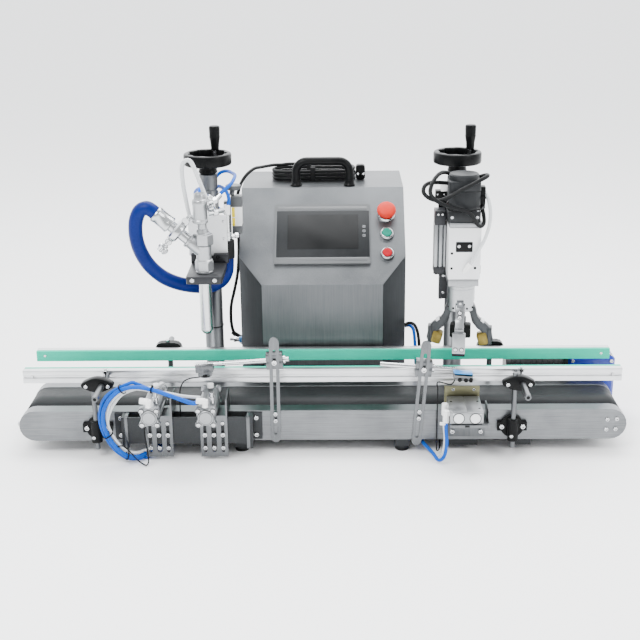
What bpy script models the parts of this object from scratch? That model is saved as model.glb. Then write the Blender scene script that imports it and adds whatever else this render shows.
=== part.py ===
"""Benchtop filling and capping machine with its conveyor.

Every sub-part is one named object in the collection "filling_capping_machine".
Lengths are metres and +Z is up.  The parts are laid out from a datum on the outer face of the
front side plate, at the conveyor's mid-length and mid-height: +X runs along the conveyor to the
drive end and +Y runs from the operator to the back.  The empty "datum" then stands that layout
on its feet, with the origin under the middle of the machine.
"""

import math

import bmesh
import bpy
from mathutils import Matrix, Vector

# ---------------------------------------------------------------- driving dimensions
DATUM = (-0.0060, -0.2160, 0.0600)  # where the layout's datum stands in the finished frame
GAP = 0.0003  # clearance between pieces that touch
FLOOR = -0.0600  # the surface the feet stand on

CONVEYOR_LENGTH = 1.2000
PLATE_HEIGHT = 0.0634
CONVEYOR_DEPTH = 0.1600
SHEET = 0.0025
RIM_DEPTH = 0.0305
BELT_THICKNESS = 0.0020
BELT_FRONT = RIM_DEPTH + 0.0008
BELT_BACK = CONVEYOR_DEPTH - BELT_FRONT
BELT_Y = CONVEYOR_DEPTH / 2

RAIL_LENGTH = 1.1860
RAIL_BOTTOM = 0.0775
RAIL_HEIGHT = 0.0265
FRONT_RAIL_Y = (0.0360, 0.0580)
REAR_RAIL_Y = (0.1485, 0.1700)
ROD_HEIGHT = 0.0960
ROD_RADIUS = 0.0060
POST_RADIUS = 0.0050

COLUMN_Y = 0.2000
FILL_COLUMN_X = -0.2262
CAP_COLUMN_X = 0.2737
FILL_X = -0.2276
CAP_X = 0.2755
COLUMN_TOP = 0.4665
WHEEL_RADIUS = 0.0480

CABINET_X = 0.0016
CABINET_WIDTH = 0.3470
CABINET_FRONT = 0.1800
CABINET_BACK = 0.5270
CABINET_CHAMFER = 0.0487
CABINET_SHEET = 0.0020
PANEL_FOOT = 0.2350
PANEL_LENGTH = 0.2390
PANEL_TILT = math.radians(44.0)
CABINET_TOP = PANEL_FOOT + PANEL_LENGTH * math.sin(PANEL_TILT)

# ---------------------------------------------------------------- collections and materials
for old in list(bpy.data.objects):
    bpy.data.objects.remove(old, do_unlink=True)

PARTS = bpy.data.collections.new("filling_capping_machine")
TOOLS = bpy.data.collections.new("cutters")
for collection in (PARTS, TOOLS):
    bpy.context.scene.collection.children.link(collection)

datum = bpy.data.objects.new("datum", None)
datum.location = DATUM
PARTS.objects.link(datum)

# name: (base colour, metallic, roughness)
FINISHES = {
    "stainless": ((0.56, 0.57, 0.58), 1.0, 0.32),
    "dark_steel": ((0.10, 0.105, 0.11), 0.9, 0.42),
    "aluminium": ((0.78, 0.79, 0.80), 1.0, 0.30),
    "chrome": ((0.82, 0.82, 0.82), 1.0, 0.12),
    "black_plastic": ((0.018, 0.018, 0.020), 0.0, 0.42),
    "belt_rubber": ((0.035, 0.036, 0.038), 0.0, 0.70),
    "green_strip": ((0.0, 0.62, 0.44), 0.0, 0.45),
    "blue_paint": ((0.02, 0.10, 0.42), 0.0, 0.35),
    "blue_hose": ((0.01, 0.16, 0.75), 0.0, 0.30),
    "grey_plastic": ((0.20, 0.21, 0.22), 0.0, 0.50),
    "red_plastic": ((0.75, 0.05, 0.03), 0.0, 0.35),
    "green_plastic": ((0.0, 0.42, 0.18), 0.0, 0.35),
    "cord_rubber": ((0.02, 0.02, 0.02), 0.0, 0.60),
}


def finish(name):
    """Return the named Principled material, made the first time it is asked for."""
    material = bpy.data.materials.get(name)
    if material is None:
        colour, metallic, roughness = FINISHES[name]
        material = bpy.data.materials.new(name)
        material.use_nodes = True
        shader = material.node_tree.nodes["Principled BSDF"]
        shader.inputs["Base Color"].default_value = (*colour, 1.0)
        shader.inputs["Metallic"].default_value = metallic
        shader.inputs["Roughness"].default_value = roughness
        material.diffuse_color = (*colour, 1.0)
    return material


# ---------------------------------------------------------------- modelling helpers
def tool(mesh):
    """Put a mesh into the scene as a hidden working solid."""
    obj = bpy.data.objects.new("tool", mesh)
    obj.hide_render = True
    obj.display_type = "WIRE"
    TOOLS.objects.link(obj)
    return obj


def evaluated_mesh(obj):
    """Return a copy of the object's mesh with its modifiers applied."""
    bpy.context.view_layer.update()
    depsgraph = bpy.context.evaluated_depsgraph_get()
    return bpy.data.meshes.new_from_object(obj.evaluated_get(depsgraph))


def from_bmesh(build):
    """Fill a new mesh with a bmesh that the given function builds."""
    mesh = bpy.data.meshes.new("solid")
    bm = bmesh.new()
    build(bm)
    bm.to_mesh(mesh)
    bm.free()
    return tool(mesh)


def block(low, high, bevel=0.0, turn=None):
    """A box between two opposite corners, optionally bevelled and turned about its middle."""
    low, high = Vector(low), Vector(high)

    def build(bm):
        bmesh.ops.create_cube(bm, size=1.0)
        bmesh.ops.scale(bm, vec=high - low, verts=bm.verts)
        if bevel:
            bmesh.ops.bevel(bm, geom=bm.edges[:], offset=bevel, segments=1, affect="EDGES")

    obj = from_bmesh(build)
    obj.matrix_world = Matrix.Translation((low + high) / 2) @ (turn or Matrix.Identity(4))
    return obj


def rod(radius, start, end, sides=20, end_radius=None):
    """A round bar, or a cone, between two points."""
    start, end = Vector(start), Vector(end)
    axis = end - start

    def build(bm):
        bmesh.ops.create_cone(
            bm,
            cap_ends=True,
            segments=sides,
            radius1=radius,
            radius2=radius if end_radius is None else end_radius,
            depth=axis.length,
        )

    obj = from_bmesh(build)
    turn = Vector((0, 0, 1)).rotation_difference(axis.normalized()).to_matrix().to_4x4()
    obj.matrix_world = Matrix.Translation((start + end) / 2) @ turn
    return obj


def turned(profile, place=(0, 0, 0), steps=20):
    """A shape turned about a vertical axis from (radius, height) points, outer side downward."""
    mesh = bpy.data.meshes.new("profile")
    points = [(radius, 0.0, height) for radius, height in profile]
    edges = [(i, i + 1) for i in range(len(points) - 1)]
    if profile[0][0] > 0 and profile[-1][0] > 0:
        edges.append((len(points) - 1, 0))
    mesh.from_pydata(points, edges, [])
    obj = tool(mesh)
    screw = obj.modifiers.new("turn", "SCREW")
    screw.steps = steps
    screw.render_steps = steps
    screw.use_merge_vertices = True
    screw.merge_threshold = 0.00001
    obj.data = evaluated_mesh(obj)
    obj.modifiers.clear()
    obj.matrix_world = Matrix.Translation(place)
    return obj


def weld(mesh):
    """Join the loose caps of a converted curve to its sides."""
    bm = bmesh.new()
    bm.from_mesh(mesh)
    bmesh.ops.remove_doubles(bm, verts=bm.verts, dist=0.00001)
    bmesh.ops.recalc_face_normals(bm, faces=bm.faces)
    bm.to_mesh(mesh)
    bm.free()


def solid_of(curve_object):
    """Turn a curve object into a welded mesh solid that can be cut and joined."""
    mesh = evaluated_mesh(curve_object)
    weld(mesh)
    obj = tool(mesh)
    obj.matrix_world = curve_object.matrix_world
    bpy.data.objects.remove(curve_object, do_unlink=True)
    return obj


# How a flat outline's own X, Y and normal lie for each plane it can be drawn in.
PLANES = {
    "XY": Matrix.Identity(4),
    "XZ": Matrix(((1, 0, 0, 0), (0, 0, -1, 0), (0, 1, 0, 0), (0, 0, 0, 1))),
    "YZ": Matrix(((0, 0, 1, 0), (1, 0, 0, 0), (0, 1, 0, 0), (0, 0, 0, 1))),
}


def prism(outline, low, high, plane="XY", place=None):
    """A flat outline given thickness, from low to high along the plane's normal axis."""
    curve = bpy.data.curves.new("outline", "CURVE")
    curve.dimensions = "2D"
    curve.fill_mode = "BOTH"
    curve.extrude = (high - low) / 2
    spline = curve.splines.new("POLY")
    spline.points.add(len(outline) - 1)
    for point, (a, b) in zip(spline.points, outline):
        point.co = (a, b, 0.0, 1.0)
    spline.use_cyclic_u = True
    obj = bpy.data.objects.new("outline", curve)
    TOOLS.objects.link(obj)
    axis = {"XY": (0, 0, 1), "XZ": (0, 1, 0), "YZ": (1, 0, 0)}[plane]
    middle = Matrix.Translation(Vector(axis) * (low + high) / 2)
    obj.matrix_world = (place or Matrix.Identity(4)) @ middle @ PLANES[plane]
    return solid_of(obj)


def arc(centre, radius, start, end, steps):
    """Points along an arc between two angles in degrees."""
    return [
        (
            centre[0] + radius * math.cos(math.radians(start + (end - start) * i / steps)),
            centre[1] + radius * math.sin(math.radians(start + (end - start) * i / steps)),
        )
        for i in range(steps + 1)
    ]


def stadium(length, height, centre=(0.0, 0.0), steps=10):
    """An outline with two straight sides and round ends, longest along its first axis."""
    radius = height / 2
    reach = length / 2 - radius
    right = arc((centre[0] + reach, centre[1]), radius, -90, 90, steps)
    left = arc((centre[0] - reach, centre[1]), radius, 90, 270, steps)
    return right + left


def tube(points, radius, resolution=2):
    """A round tube with filled caps along a list of points."""
    curve = bpy.data.curves.new("tube", "CURVE")
    curve.dimensions = "3D"
    curve.bevel_depth = radius
    curve.bevel_resolution = resolution
    curve.use_fill_caps = True
    spline = curve.splines.new("POLY")
    spline.points.add(len(points) - 1)
    for point, place in zip(spline.points, points):
        point.co = (*place, 1.0)
    obj = bpy.data.objects.new("tube", curve)
    TOOLS.objects.link(obj)
    return solid_of(obj)


def smooth_route(points, spacing):
    """Read evenly spaced points from a smooth curve through the route's own points."""
    route = [Vector(point) for point in points]
    padded = [2 * route[0] - route[1], *route, 2 * route[-1] - route[-2]]
    fine = []
    for before, start, end, after in zip(padded, padded[1:], padded[2:], padded[3:]):
        for step in range(24):
            t = step / 24
            fine.append(
                0.5
                * (
                    2 * start
                    + (end - before) * t
                    + (2 * before - 5 * start + 4 * end - after) * t**2
                    + (3 * start - before - 3 * end + after) * t**3
                )
            )
    fine.append(route[-1])
    lengths = [0.0]
    for a, b in zip(fine, fine[1:]):
        lengths.append(lengths[-1] + (b - a).length)
    count = max(2, round(lengths[-1] / spacing))
    places, index = [], 0
    for step in range(count + 1):
        target = lengths[-1] * step / count
        while index < len(fine) - 2 and lengths[index + 1] < target:
            index += 1
        span = max(lengths[index + 1] - lengths[index], 1e-9)
        places.append(fine[index].lerp(fine[index + 1], (target - lengths[index]) / span))
    return places


def combine(base, tools, operation):
    """Apply a Boolean with each tool in turn and drop the tools."""
    for number, other in enumerate(tools):
        boolean = base.modifiers.new(f"step_{number}", "BOOLEAN")
        boolean.operation = operation
        boolean.solver = "EXACT"
        boolean.object = other
    base.data = evaluated_mesh(base)
    base.modifiers.clear()
    for other in tools:
        bpy.data.objects.remove(other, do_unlink=True)
    return base


def join(base, *tools):
    return combine(base, tools, "UNION")


def cut(base, *tools):
    return combine(base, tools, "DIFFERENCE")


def part(name, obj, material, origin=None):
    """Turn a working solid into the named sub-part, with its origin where it is wanted."""
    obj.data = obj.data.copy()
    obj.data.transform(obj.matrix_world)
    obj.matrix_world = Matrix.Identity(4)
    weld(obj.data)
    if origin is not None:
        obj.data.transform(Matrix.Translation(-Vector(origin)))
        obj.location = origin
    obj.name = name
    obj.data.name = name
    obj.data.materials.clear()
    obj.data.materials.append(finish(material))
    obj.data.shade_smooth()
    obj.data.set_sharp_from_angle(angle=math.radians(35))
    obj.hide_render = False
    obj.display_type = "TEXTURED"
    TOOLS.objects.unlink(obj)
    PARTS.objects.link(obj)
    obj.parent = datum
    return obj


# ---------------------------------------------------------------- base frame and feet
BASE_TOP = -PLATE_HEIGHT / 2 - GAP
BASE_BOTTOM = BASE_TOP - 0.0160
FOOT_Y = (0.0220, 0.4900)
LEG_X = 0.1600


def base_frame():
    """Two long bars on four feet, cross bars under the columns, and arms under the conveyor."""
    base = block((-LEG_X - 0.014, 0.004, BASE_BOTTOM), (-LEG_X + 0.014, 0.515, BASE_TOP))
    pieces = [block((LEG_X - 0.014, 0.004, BASE_BOTTOM), (LEG_X + 0.014, 0.515, BASE_TOP))]
    for y_low, y_high, x_low, x_high in (
        (0.180, 0.225, FILL_X - 0.040, CAP_X + 0.140),
        (0.440, 0.475, -LEG_X, LEG_X),
        (0.010, 0.200, FILL_X - 0.032, FILL_X - 0.014),
        (0.010, 0.200, CAP_X - 0.026, CAP_X + 0.034),
        (0.010, 0.200, CAP_X + 0.100, CAP_X + 0.140),
    ):
        pieces.append(block((x_low, y_low, BASE_BOTTOM), (x_high, y_high, BASE_TOP)))
    for x in (-LEG_X, LEG_X):
        for y in FOOT_Y:
            pieces.append(rod(0.0125, (x, y, FLOOR), (x, y, BASE_BOTTOM + 0.001), 16))
    part("base_frame", join(base, *pieces), "dark_steel")


# ---------------------------------------------------------------- conveyor
ROLLER_X = CONVEYOR_LENGTH / 2 - PLATE_HEIGHT / 2
BELT_RADIUS = PLATE_HEIGHT / 2 - 0.0010
ROLLER_RADIUS = BELT_RADIUS - BELT_THICKNESS - GAP


def side_pan(name, face_y, inner_y, shaft_x, shaft_hole):
    """A round-ended side plate whose rim turns inward along the whole edge."""
    low, high = sorted((face_y, inner_y))
    pan = prism(stadium(CONVEYOR_LENGTH, PLATE_HEIGHT), low, high, "XZ")
    step = SHEET if inner_y > face_y else -SHEET
    pocket_low, pocket_high = sorted((face_y + step, inner_y + step))
    hollow = stadium(CONVEYOR_LENGTH - 2 * SHEET, PLATE_HEIGHT - 2 * SHEET)
    pocket = prism(hollow, pocket_low, pocket_high, "XZ")
    tools = [pocket]
    if shaft_hole:
        tools.append(rod(shaft_hole, (shaft_x, low - 0.01, 0), (shaft_x, high + 0.01, 0), 16))
    part(name, cut(pan, *tools), "stainless")


def conveyor():
    side_pan("front_side_plate", 0.0, RIM_DEPTH, ROLLER_X, 0)
    side_pan("rear_side_plate", CONVEYOR_DEPTH, CONVEYOR_DEPTH - RIM_DEPTH, ROLLER_X, 0.0084)

    length = 2 * (ROLLER_X + BELT_RADIUS)
    loop = prism(stadium(length, 2 * BELT_RADIUS, steps=14), BELT_FRONT, BELT_BACK, "XZ")
    inside = stadium(length - 2 * BELT_THICKNESS, 2 * (BELT_RADIUS - BELT_THICKNESS), steps=14)
    tunnel = prism(inside, BELT_FRONT - 0.01, BELT_BACK + 0.01, "XZ")
    part("conveyor_belt", cut(loop, tunnel), "belt_rubber")

    bed_top = BELT_RADIUS - BELT_THICKNESS - GAP
    reach = ROLLER_X - ROLLER_RADIUS - 0.006
    inner = SHEET + GAP
    bed = block((-reach, inner, bed_top - 0.002), (reach, CONVEYOR_DEPTH - inner, bed_top))
    webs = [
        block((-reach, y, -0.020), (reach, y + 0.002, bed_top - 0.001))
        for y in (inner, CONVEYOR_DEPTH - inner - 0.002)
    ]
    ties = [
        block((x - 0.010, inner + 0.001, -0.012), (x + 0.010, CONVEYOR_DEPTH - inner - 0.001, 0.008))
        for x in (-0.45, -0.15, 0.15, 0.45)
    ]
    part("belt_bed", join(bed, *webs, *ties), "dark_steel")

    for name, x, shaft_radius, shaft_end in (
        ("drive_roller", ROLLER_X, 0.0075, 0.2300),
        ("idler_roller", -ROLLER_X, 0.0060, CONVEYOR_DEPTH - SHEET - 0.001),
    ):
        roller = rod(ROLLER_RADIUS, (x, BELT_FRONT + 0.001, 0), (x, BELT_BACK - 0.001, 0), 32)
        shaft = rod(shaft_radius, (x, SHEET + 0.001, 0), (x, shaft_end, 0), 16)
        part(name, join(roller, shaft), "aluminium", origin=(x, BELT_Y, 0))


def drive():
    """Worm gearbox on the drive shaft, with the motor lying along the conveyor's rear side."""
    centre = 0.2070
    case = block((0.5140, 0.1712, -0.0450), (0.6120, 0.2400, 0.0770), 0.006)
    cover = rod(0.0330, (ROLLER_X, 0.1604, 0), (ROLLER_X, 0.2450, 0), 24)
    bore = rod(0.0084, (ROLLER_X, 0.15, 0), (ROLLER_X, 0.2330, 0), 16)
    part("drive_gearbox", cut(join(case, cover), bore), "blue_paint")

    axis_z = 0.0400
    motor = rod(0.0340, (0.3980, centre, axis_z), (0.5060, centre, axis_z), 24)
    flange = block((0.5050, centre - 0.034, axis_z - 0.034), (0.5137, centre + 0.034, axis_z + 0.034))
    fan_cover = rod(0.0300, (0.3860, centre, axis_z), (0.3990, centre, axis_z), 24)
    box = block((0.4250, centre - 0.018, axis_z + 0.025), (0.4700, centre + 0.018, axis_z + 0.044))
    part("drive_motor", join(motor, flange, fan_cover, box), "black_plastic")


# ---------------------------------------------------------------- guide rails
FRONT_RODS = (-0.4245, 0.3880)
REAR_RODS = (-0.3240, 0.3520)
FRONT_POST_Y = -0.0190
FRONT_POSTS = (-0.4420, 0.3740)
REAR_POST_Y = 0.1830
REAR_POSTS = (-0.3200, 0.3500)
HEAD_HALF = 0.0280


def guide_rail(name, face, back, strip_side, rods, rod_end):
    """An extruded rail with its wear strip and the two rods that carry it."""
    bottom, top = RAIL_BOTTOM, RAIL_BOTTOM + RAIL_HEIGHT
    reach = RAIL_LENGTH / 2
    strip = 0.0080
    low, high = (face, back - strip) if strip_side > 0 else (face + strip, back)
    rail = block((-reach, low, bottom), (reach, high, top))
    wear = (high - 0.001, back) if strip_side > 0 else (face, low + 0.001)
    pieces = [block((-reach, wear[0], bottom + 0.0015), (reach, wear[1], top - 0.0005))]
    inner = (low + high) / 2
    for x in rods:
        pieces.append(rod(ROD_RADIUS, (x, inner, ROD_HEIGHT), (x, rod_end, ROD_HEIGHT), 16))
    part(name, join(rail, *pieces), "aluminium", origin=(0, inner, bottom))


def clamp_head(post_x, rod_x, y_low, y_high):
    """A cross clamp: a rounded block that holds the post and lets the rail's rod through."""
    middle = (post_x + rod_x) / 2
    outline = stadium(2 * HEAD_HALF, 0.0290, (middle, ROD_HEIGHT + 0.001), 6)
    head = prism(outline, y_low, y_high, "XZ")
    bore = ROD_RADIUS + 0.0005
    start, end = (rod_x, y_low - 0.01, ROD_HEIGHT), (rod_x, y_high + 0.01, ROD_HEIGHT)
    passage = rod(bore, start, end, 16)
    return cut(head, passage)


def hub(post_x, post_y, face_y, outward):
    """A flange bolted to the side plate, with the upright boss that takes the post."""
    start, end = face_y, face_y + outward * 0.0090
    plate = rod(0.0230, (post_x, start, 0), (post_x, end, 0), 20)
    ears = block((post_x - 0.029, min(start, end), -0.009), (post_x + 0.029, max(start, end), 0.009))
    boss = rod(0.0105, (post_x, post_y, -0.024), (post_x, post_y, 0.020), 16)
    neck_low, neck_high = sorted((face_y + outward * 0.004, post_y))
    neck = block((post_x - 0.009, neck_low, -0.018), (post_x + 0.009, neck_high, 0.014))
    return join(plate, ears, boss, neck)


def rail_supports():
    for side, post_x, rod_x in zip(("left", "right"), FRONT_POSTS, FRONT_RODS):
        bore = rod(
            POST_RADIUS + 0.0004,
            (post_x, FRONT_POST_Y, -0.05),
            (post_x, FRONT_POST_Y, 0.05),
            16,
        )
        holder = cut(hub(post_x, FRONT_POST_Y, -GAP, -1), bore)
        part(f"front_post_hub_{side}", holder, "black_plastic")

        head = clamp_head(post_x, rod_x, -0.0280, -0.0100)
        top = 0.0980 if side == "left" else 0.1170
        post = rod(
            POST_RADIUS,
            (post_x, FRONT_POST_Y, -0.0400),
            (post_x, FRONT_POST_Y, top),
            16,
        )
        origin = (post_x, FRONT_POST_Y, 0)
        part(f"front_rail_post_{side}", join(head, post), "dark_steel", origin)

    for side, post_x, rod_x in zip(("left", "right"), REAR_POSTS, REAR_RODS):
        holder = hub(post_x, REAR_POST_Y, CONVEYOR_DEPTH + GAP, 1)
        head = clamp_head(post_x, rod_x, 0.1740, 0.1920)
        post = rod(
            POST_RADIUS,
            (post_x, REAR_POST_Y, -0.0300),
            (post_x, REAR_POST_Y, 0.0885),
            16,
        )
        part(f"rear_rail_support_{side}", join(holder, head, post), "black_plastic")

    guide_rail("front_guide_rail", *FRONT_RAIL_Y, 1, FRONT_RODS, -0.0950)
    guide_rail("rear_guide_rail", *REAR_RAIL_Y, -1, REAR_RODS, 0.2450)


# ---------------------------------------------------------------- sensor bars and arms
BAR_WIDTH = 0.0195
BAR_LENGTH = 0.2210
ARM_Y = 0.0115


def sensor_bar(name, foot_x, foot_z, tilt):
    """A slotted upright strip; tilt leans its top towards +X.  Returns its placement."""
    place = Matrix.Translation((foot_x, 0, foot_z)) @ Matrix.Rotation(tilt, 4, "Y")
    half = BAR_LENGTH / 2
    outline = [(b, a) for a, b in stadium(BAR_LENGTH, BAR_WIDTH, (half, 0), 4)][::-1]
    strip = prism(outline, -0.0033, -GAP, "XZ", place)
    middle = 0.0170 + 0.1780 / 2
    slot_line = [(b, a) for a, b in stadium(0.1780, 0.0064, (middle, 0), 3)][::-1]
    slot = prism(slot_line, -0.01, 0.01, "XZ", place)
    part(name, cut(strip, slot), "stainless")
    return place


def sensor_arm(name, place, height, reach, sensor_at, sensor_size, lean):
    """A clamp behind the bar, the rod through it and the photo sensor hung on the rod."""
    here = place @ Matrix.Translation((0, 0, height)) @ Matrix.Rotation(lean, 4, "Y")

    def at(x, y, z):
        return here @ Vector((x, y, z))

    turn = here.to_3x3().to_4x4()
    clamp = block((-0.0165, 0.0003, -0.0160), (0.0165, 0.0215, 0.0160), 0.002)
    clamp.matrix_world = here @ clamp.matrix_world
    bolt = rod(0.0029, at(0, -0.0040, 0), at(0, 0.004, 0), 10)
    bolt_head = rod(0.0048, at(0, -0.0075, 0), at(0, -0.0036, 0), 10)
    arm = rod(0.0047, at(reach[0], ARM_Y, 0), at(reach[1], ARM_Y, 0), 14)
    middle = at(*sensor_at)
    half = Vector(sensor_size) / 2
    sensor = block(middle - half, middle + half, 0.0015, turn)
    origin = here.translation
    part(name, join(clamp, bolt, bolt_head, arm, sensor), "stainless", origin)


def sensors():
    left = sensor_bar("sensor_bar_left", -0.0905, -0.0350, 0.0)
    sensor_arm(
        "sensor_arm_left",
        left,
        0.1690,
        (-0.1560, 0.0280),
        (-0.1370, 0.0080, -0.0100),
        (0.0350, 0.0230, 0.0260),
        math.radians(-3.7),
    )
    right = sensor_bar("sensor_bar_right", 0.1864, -0.0430, math.radians(4.64))
    sensor_arm(
        "sensor_arm_right",
        right,
        0.1610,
        (-0.0850, 0.0620),
        (0.0760, -0.0030, -0.0080),
        (0.0370, 0.0220, 0.0190),
        0.0,
    )


# ---------------------------------------------------------------- bottle stops
STOP_X = (-0.3250, -0.2176)
STOP_Z = 0.0556
STOP_HALF = 0.0205
STOP_BAR = (-0.0276, -0.0246)


def stop_bar():
    """The dark bar in front of the side plate and the two brackets that stand it off."""
    bar = block((-0.3860, STOP_BAR[0], -0.0260), (-0.1390, STOP_BAR[1], 0.0300))
    pieces = []
    for inner, outer in ((-0.3850, -0.4080), (-0.1400, -0.1170)):
        side = 0.006 if outer < inner else -0.006
        rib = sorted((inner, inner - side))
        pieces.append(block((rib[0], -0.0290, -0.0360), (rib[1], -GAP, 0.0300)))
        foot = sorted((inner, outer))
        pieces.append(block((foot[0], -0.0043, -0.0270), (foot[1], -GAP, 0.0290)))
    part("stop_bar", join(bar, *pieces), "dark_steel")


def stop_unit(side, x):
    """One stop: an L-shaped slotted bracket, the air cylinder on it, and its piston rod."""
    front = STOP_BAR[0] - GAP
    left, right = x - 0.0190, x + 0.0345
    face = block((left, front - 0.0030, -0.0520), (right, front, 0.0335))
    shelf = block((left, front - 0.0030, 0.0320), (right, 0.0080, 0.0348))
    wing = block((right - 0.0030, front - 0.0030, 0.0330), (right, 0.0320, 0.0680))
    slots = []
    for place, width in ((0.009, 0.0064), (0.0265, 0.0100), (0.0440, 0.0064)):
        outline = [(b, a) for a, b in stadium(0.0620, width, (-0.0120, left + place), 3)][::-1]
        slots.append(prism(outline, front - 0.01, front + 0.01, "XZ"))
    part(f"stop_bracket_{side}", cut(join(face, shelf, wing), *slots), "stainless")

    low, high = -0.0900, 0.0300
    half = STOP_HALF
    bottom = STOP_Z - half
    body = block((x - 0.0170, low + 0.010, bottom + 0.002), (x + 0.0170, high - 0.010, STOP_Z + 0.0180))
    caps = [
        block((x - half, y, bottom), (x + half, y + 0.012, STOP_Z + half), 0.004)
        for y in (low, high - 0.012)
    ]
    boss = rod(0.0170, (x, low - 0.002, STOP_Z), (x, low + 0.002, STOP_Z), 20)
    bore = rod(0.0066, (x, low + 0.020, STOP_Z), (x, high + 0.010, STOP_Z), 16)
    part(f"stop_cylinder_{side}", cut(join(body, *caps, boss), bore), "aluminium")

    piston = rod(0.0060, (x, low + 0.0240, STOP_Z), (x, high + 0.004, STOP_Z), 16)
    bumper = rod(0.0095, (x, high + 0.0030, STOP_Z), (x, high + 0.0150, STOP_Z), 16)
    part(f"stop_rod_{side}", join(piston, bumper), "chrome", origin=(x, high, STOP_Z))


def bottle_stops():
    stop_bar()
    for side, x in zip(("left", "right"), STOP_X):
        stop_unit(side, x)


# ---------------------------------------------------------------- bottle clamp
CLAMP_X = (0.2455, 0.3090)
CLAMP_FRONT = -0.0750
CLAMP_Z = 0.0455


def bottle_clamp():
    """Twin-rod air cylinder on its shelf, and the plate it pushes towards the bottle."""
    low, high = CLAMP_X
    body = block((low, CLAMP_FRONT, 0.0330), (high, 0.0080, 0.0580), 0.0012)
    shelf = block((low, CLAMP_FRONT - 0.003, 0.0270), (high + 0.0125, -GAP, 0.0335))
    hanger = block((low, -0.0043, -0.0230), (high + 0.0125, -GAP, 0.0300))
    gusset = block((high + 0.0095, CLAMP_FRONT + 0.010, 0.0300), (high + 0.0125, -0.010, 0.0560))
    rods = [(low + high) / 2 + offset for offset in (-0.0150, 0.0150)]
    bores = [
        rod(0.0055, (x, CLAMP_FRONT + 0.012, CLAMP_Z), (x, 0.0200, CLAMP_Z), 16) for x in rods
    ]
    part("clamp_cylinder", cut(join(body, shelf, hanger, gusset), *bores), "aluminium")

    plate = block((low - 0.004, 0.0120, 0.0345), (high + 0.0015, 0.0180, 0.0765), 0.001)
    pins = [rod(0.0050, (x, -0.0580, CLAMP_Z), (x, 0.0130, CLAMP_Z), 16) for x in rods]
    part("clamp_plate", join(plate, *pins), "stainless", origin=(sum(rods) / 2, 0.0120, CLAMP_Z))


# ---------------------------------------------------------------- columns and handwheels
def column(name, x):
    """A hollow column on a round foot, slotted at the back where the lift nut runs."""
    bore, neck, body, foot = 0.0120, 0.0160, 0.0190, 0.0350
    base = -PLATE_HEIGHT / 2
    profile = [
        (0.0, 0.140),
        (bore, 0.140),
        (bore, COLUMN_TOP),
        (neck, COLUMN_TOP),
        (neck, 0.432),
        (body, 0.428),
        (body, base + 0.010),
        (foot, base + 0.010),
        (foot, base),
        (0.0, base),
    ]
    tube_solid = turned(profile, (x, COLUMN_Y, 0), 20)
    slot = block((x - 0.0048, COLUMN_Y + 0.004, 0.200), (x + 0.0048, COLUMN_Y + 0.030, 0.420))
    part(name, cut(tube_solid, slot), "stainless")


def handwheel(name, grip_name, x, grip_offset):
    """A dished handwheel with its lead screw, and the grip that turns on the wheel's pin."""
    screw, hub_radius, rim_in, rim_out = 0.0070, 0.0190, 0.0395, WHEEL_RADIUS
    foot = COLUMN_TOP + 0.0005
    web, rim_low, rim_high = 0.4900, 0.4875, 0.5055
    profile = [
        (0.0, 0.4950),
        (0.0110, 0.4950),
        (0.0110, web),
        (rim_in, web),
        (rim_in, rim_high - 0.002),
        (rim_in + 0.002, rim_high),
        (rim_out - 0.002, rim_high),
        (rim_out, rim_high - 0.002),
        (rim_out, rim_low + 0.002),
        (rim_out - 0.002, rim_low),
        (hub_radius, rim_low),
        (hub_radius, foot),
        (screw, foot),
        (screw, 0.150),
        (0.0, 0.150),
    ]
    axis = (x, COLUMN_Y, 0)
    grip_x, grip_y = x + grip_offset[0], COLUMN_Y + grip_offset[1]
    pin = rod(0.0038, (grip_x, grip_y, web - 0.001), (grip_x, grip_y, 0.5520), 12)
    boss = rod(0.0062, (grip_x, grip_y, web - 0.001), (grip_x, grip_y, 0.5050), 12)
    wheel = join(turned(profile, axis, 24), pin, boss)
    part(name, wheel, "black_plastic", origin=(x, COLUMN_Y, foot))

    grip_low, grip_high = 0.5062, 0.5548
    sleeve = [
        (0.0, grip_high),
        (0.0100, grip_high),
        (0.0115, grip_high - 0.002),
        (0.0112, grip_high - 0.020),
        (0.0080, grip_low + 0.006),
        (0.0080, grip_low),
        (0.0044, grip_low),
        (0.0044, grip_high - 0.002),
        (0.0, grip_high - 0.002),
    ]
    grip = turned(sleeve, (grip_x, grip_y, 0), 16)
    part(grip_name, grip, "black_plastic", origin=(grip_x, grip_y, grip_low))


def lift_nut(x, low, high):
    """The nut on the lead screw and the tongue that reaches it through the column's slot."""
    ring = rod(0.0110, (x, COLUMN_Y, low), (x, COLUMN_Y, high), 16)
    tongue = block((x - 0.0040, COLUMN_Y + 0.0085, low), (x + 0.0040, COLUMN_Y + 0.0270, high))
    nut = join(ring, tongue)
    return cut(nut, rod(0.0076, (x, COLUMN_Y, low - 0.01), (x, COLUMN_Y, high + 0.01), 16))


def lift_sleeve(x, half_width, low, high):
    """The block that slides on the column."""
    body = block((x - half_width, 0.1710, low), (x + half_width, 0.2270, high), 0.002)
    return cut(body, rod(0.0196, (x, COLUMN_Y, low - 0.01), (x, COLUMN_Y, high + 0.01), 24))


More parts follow.
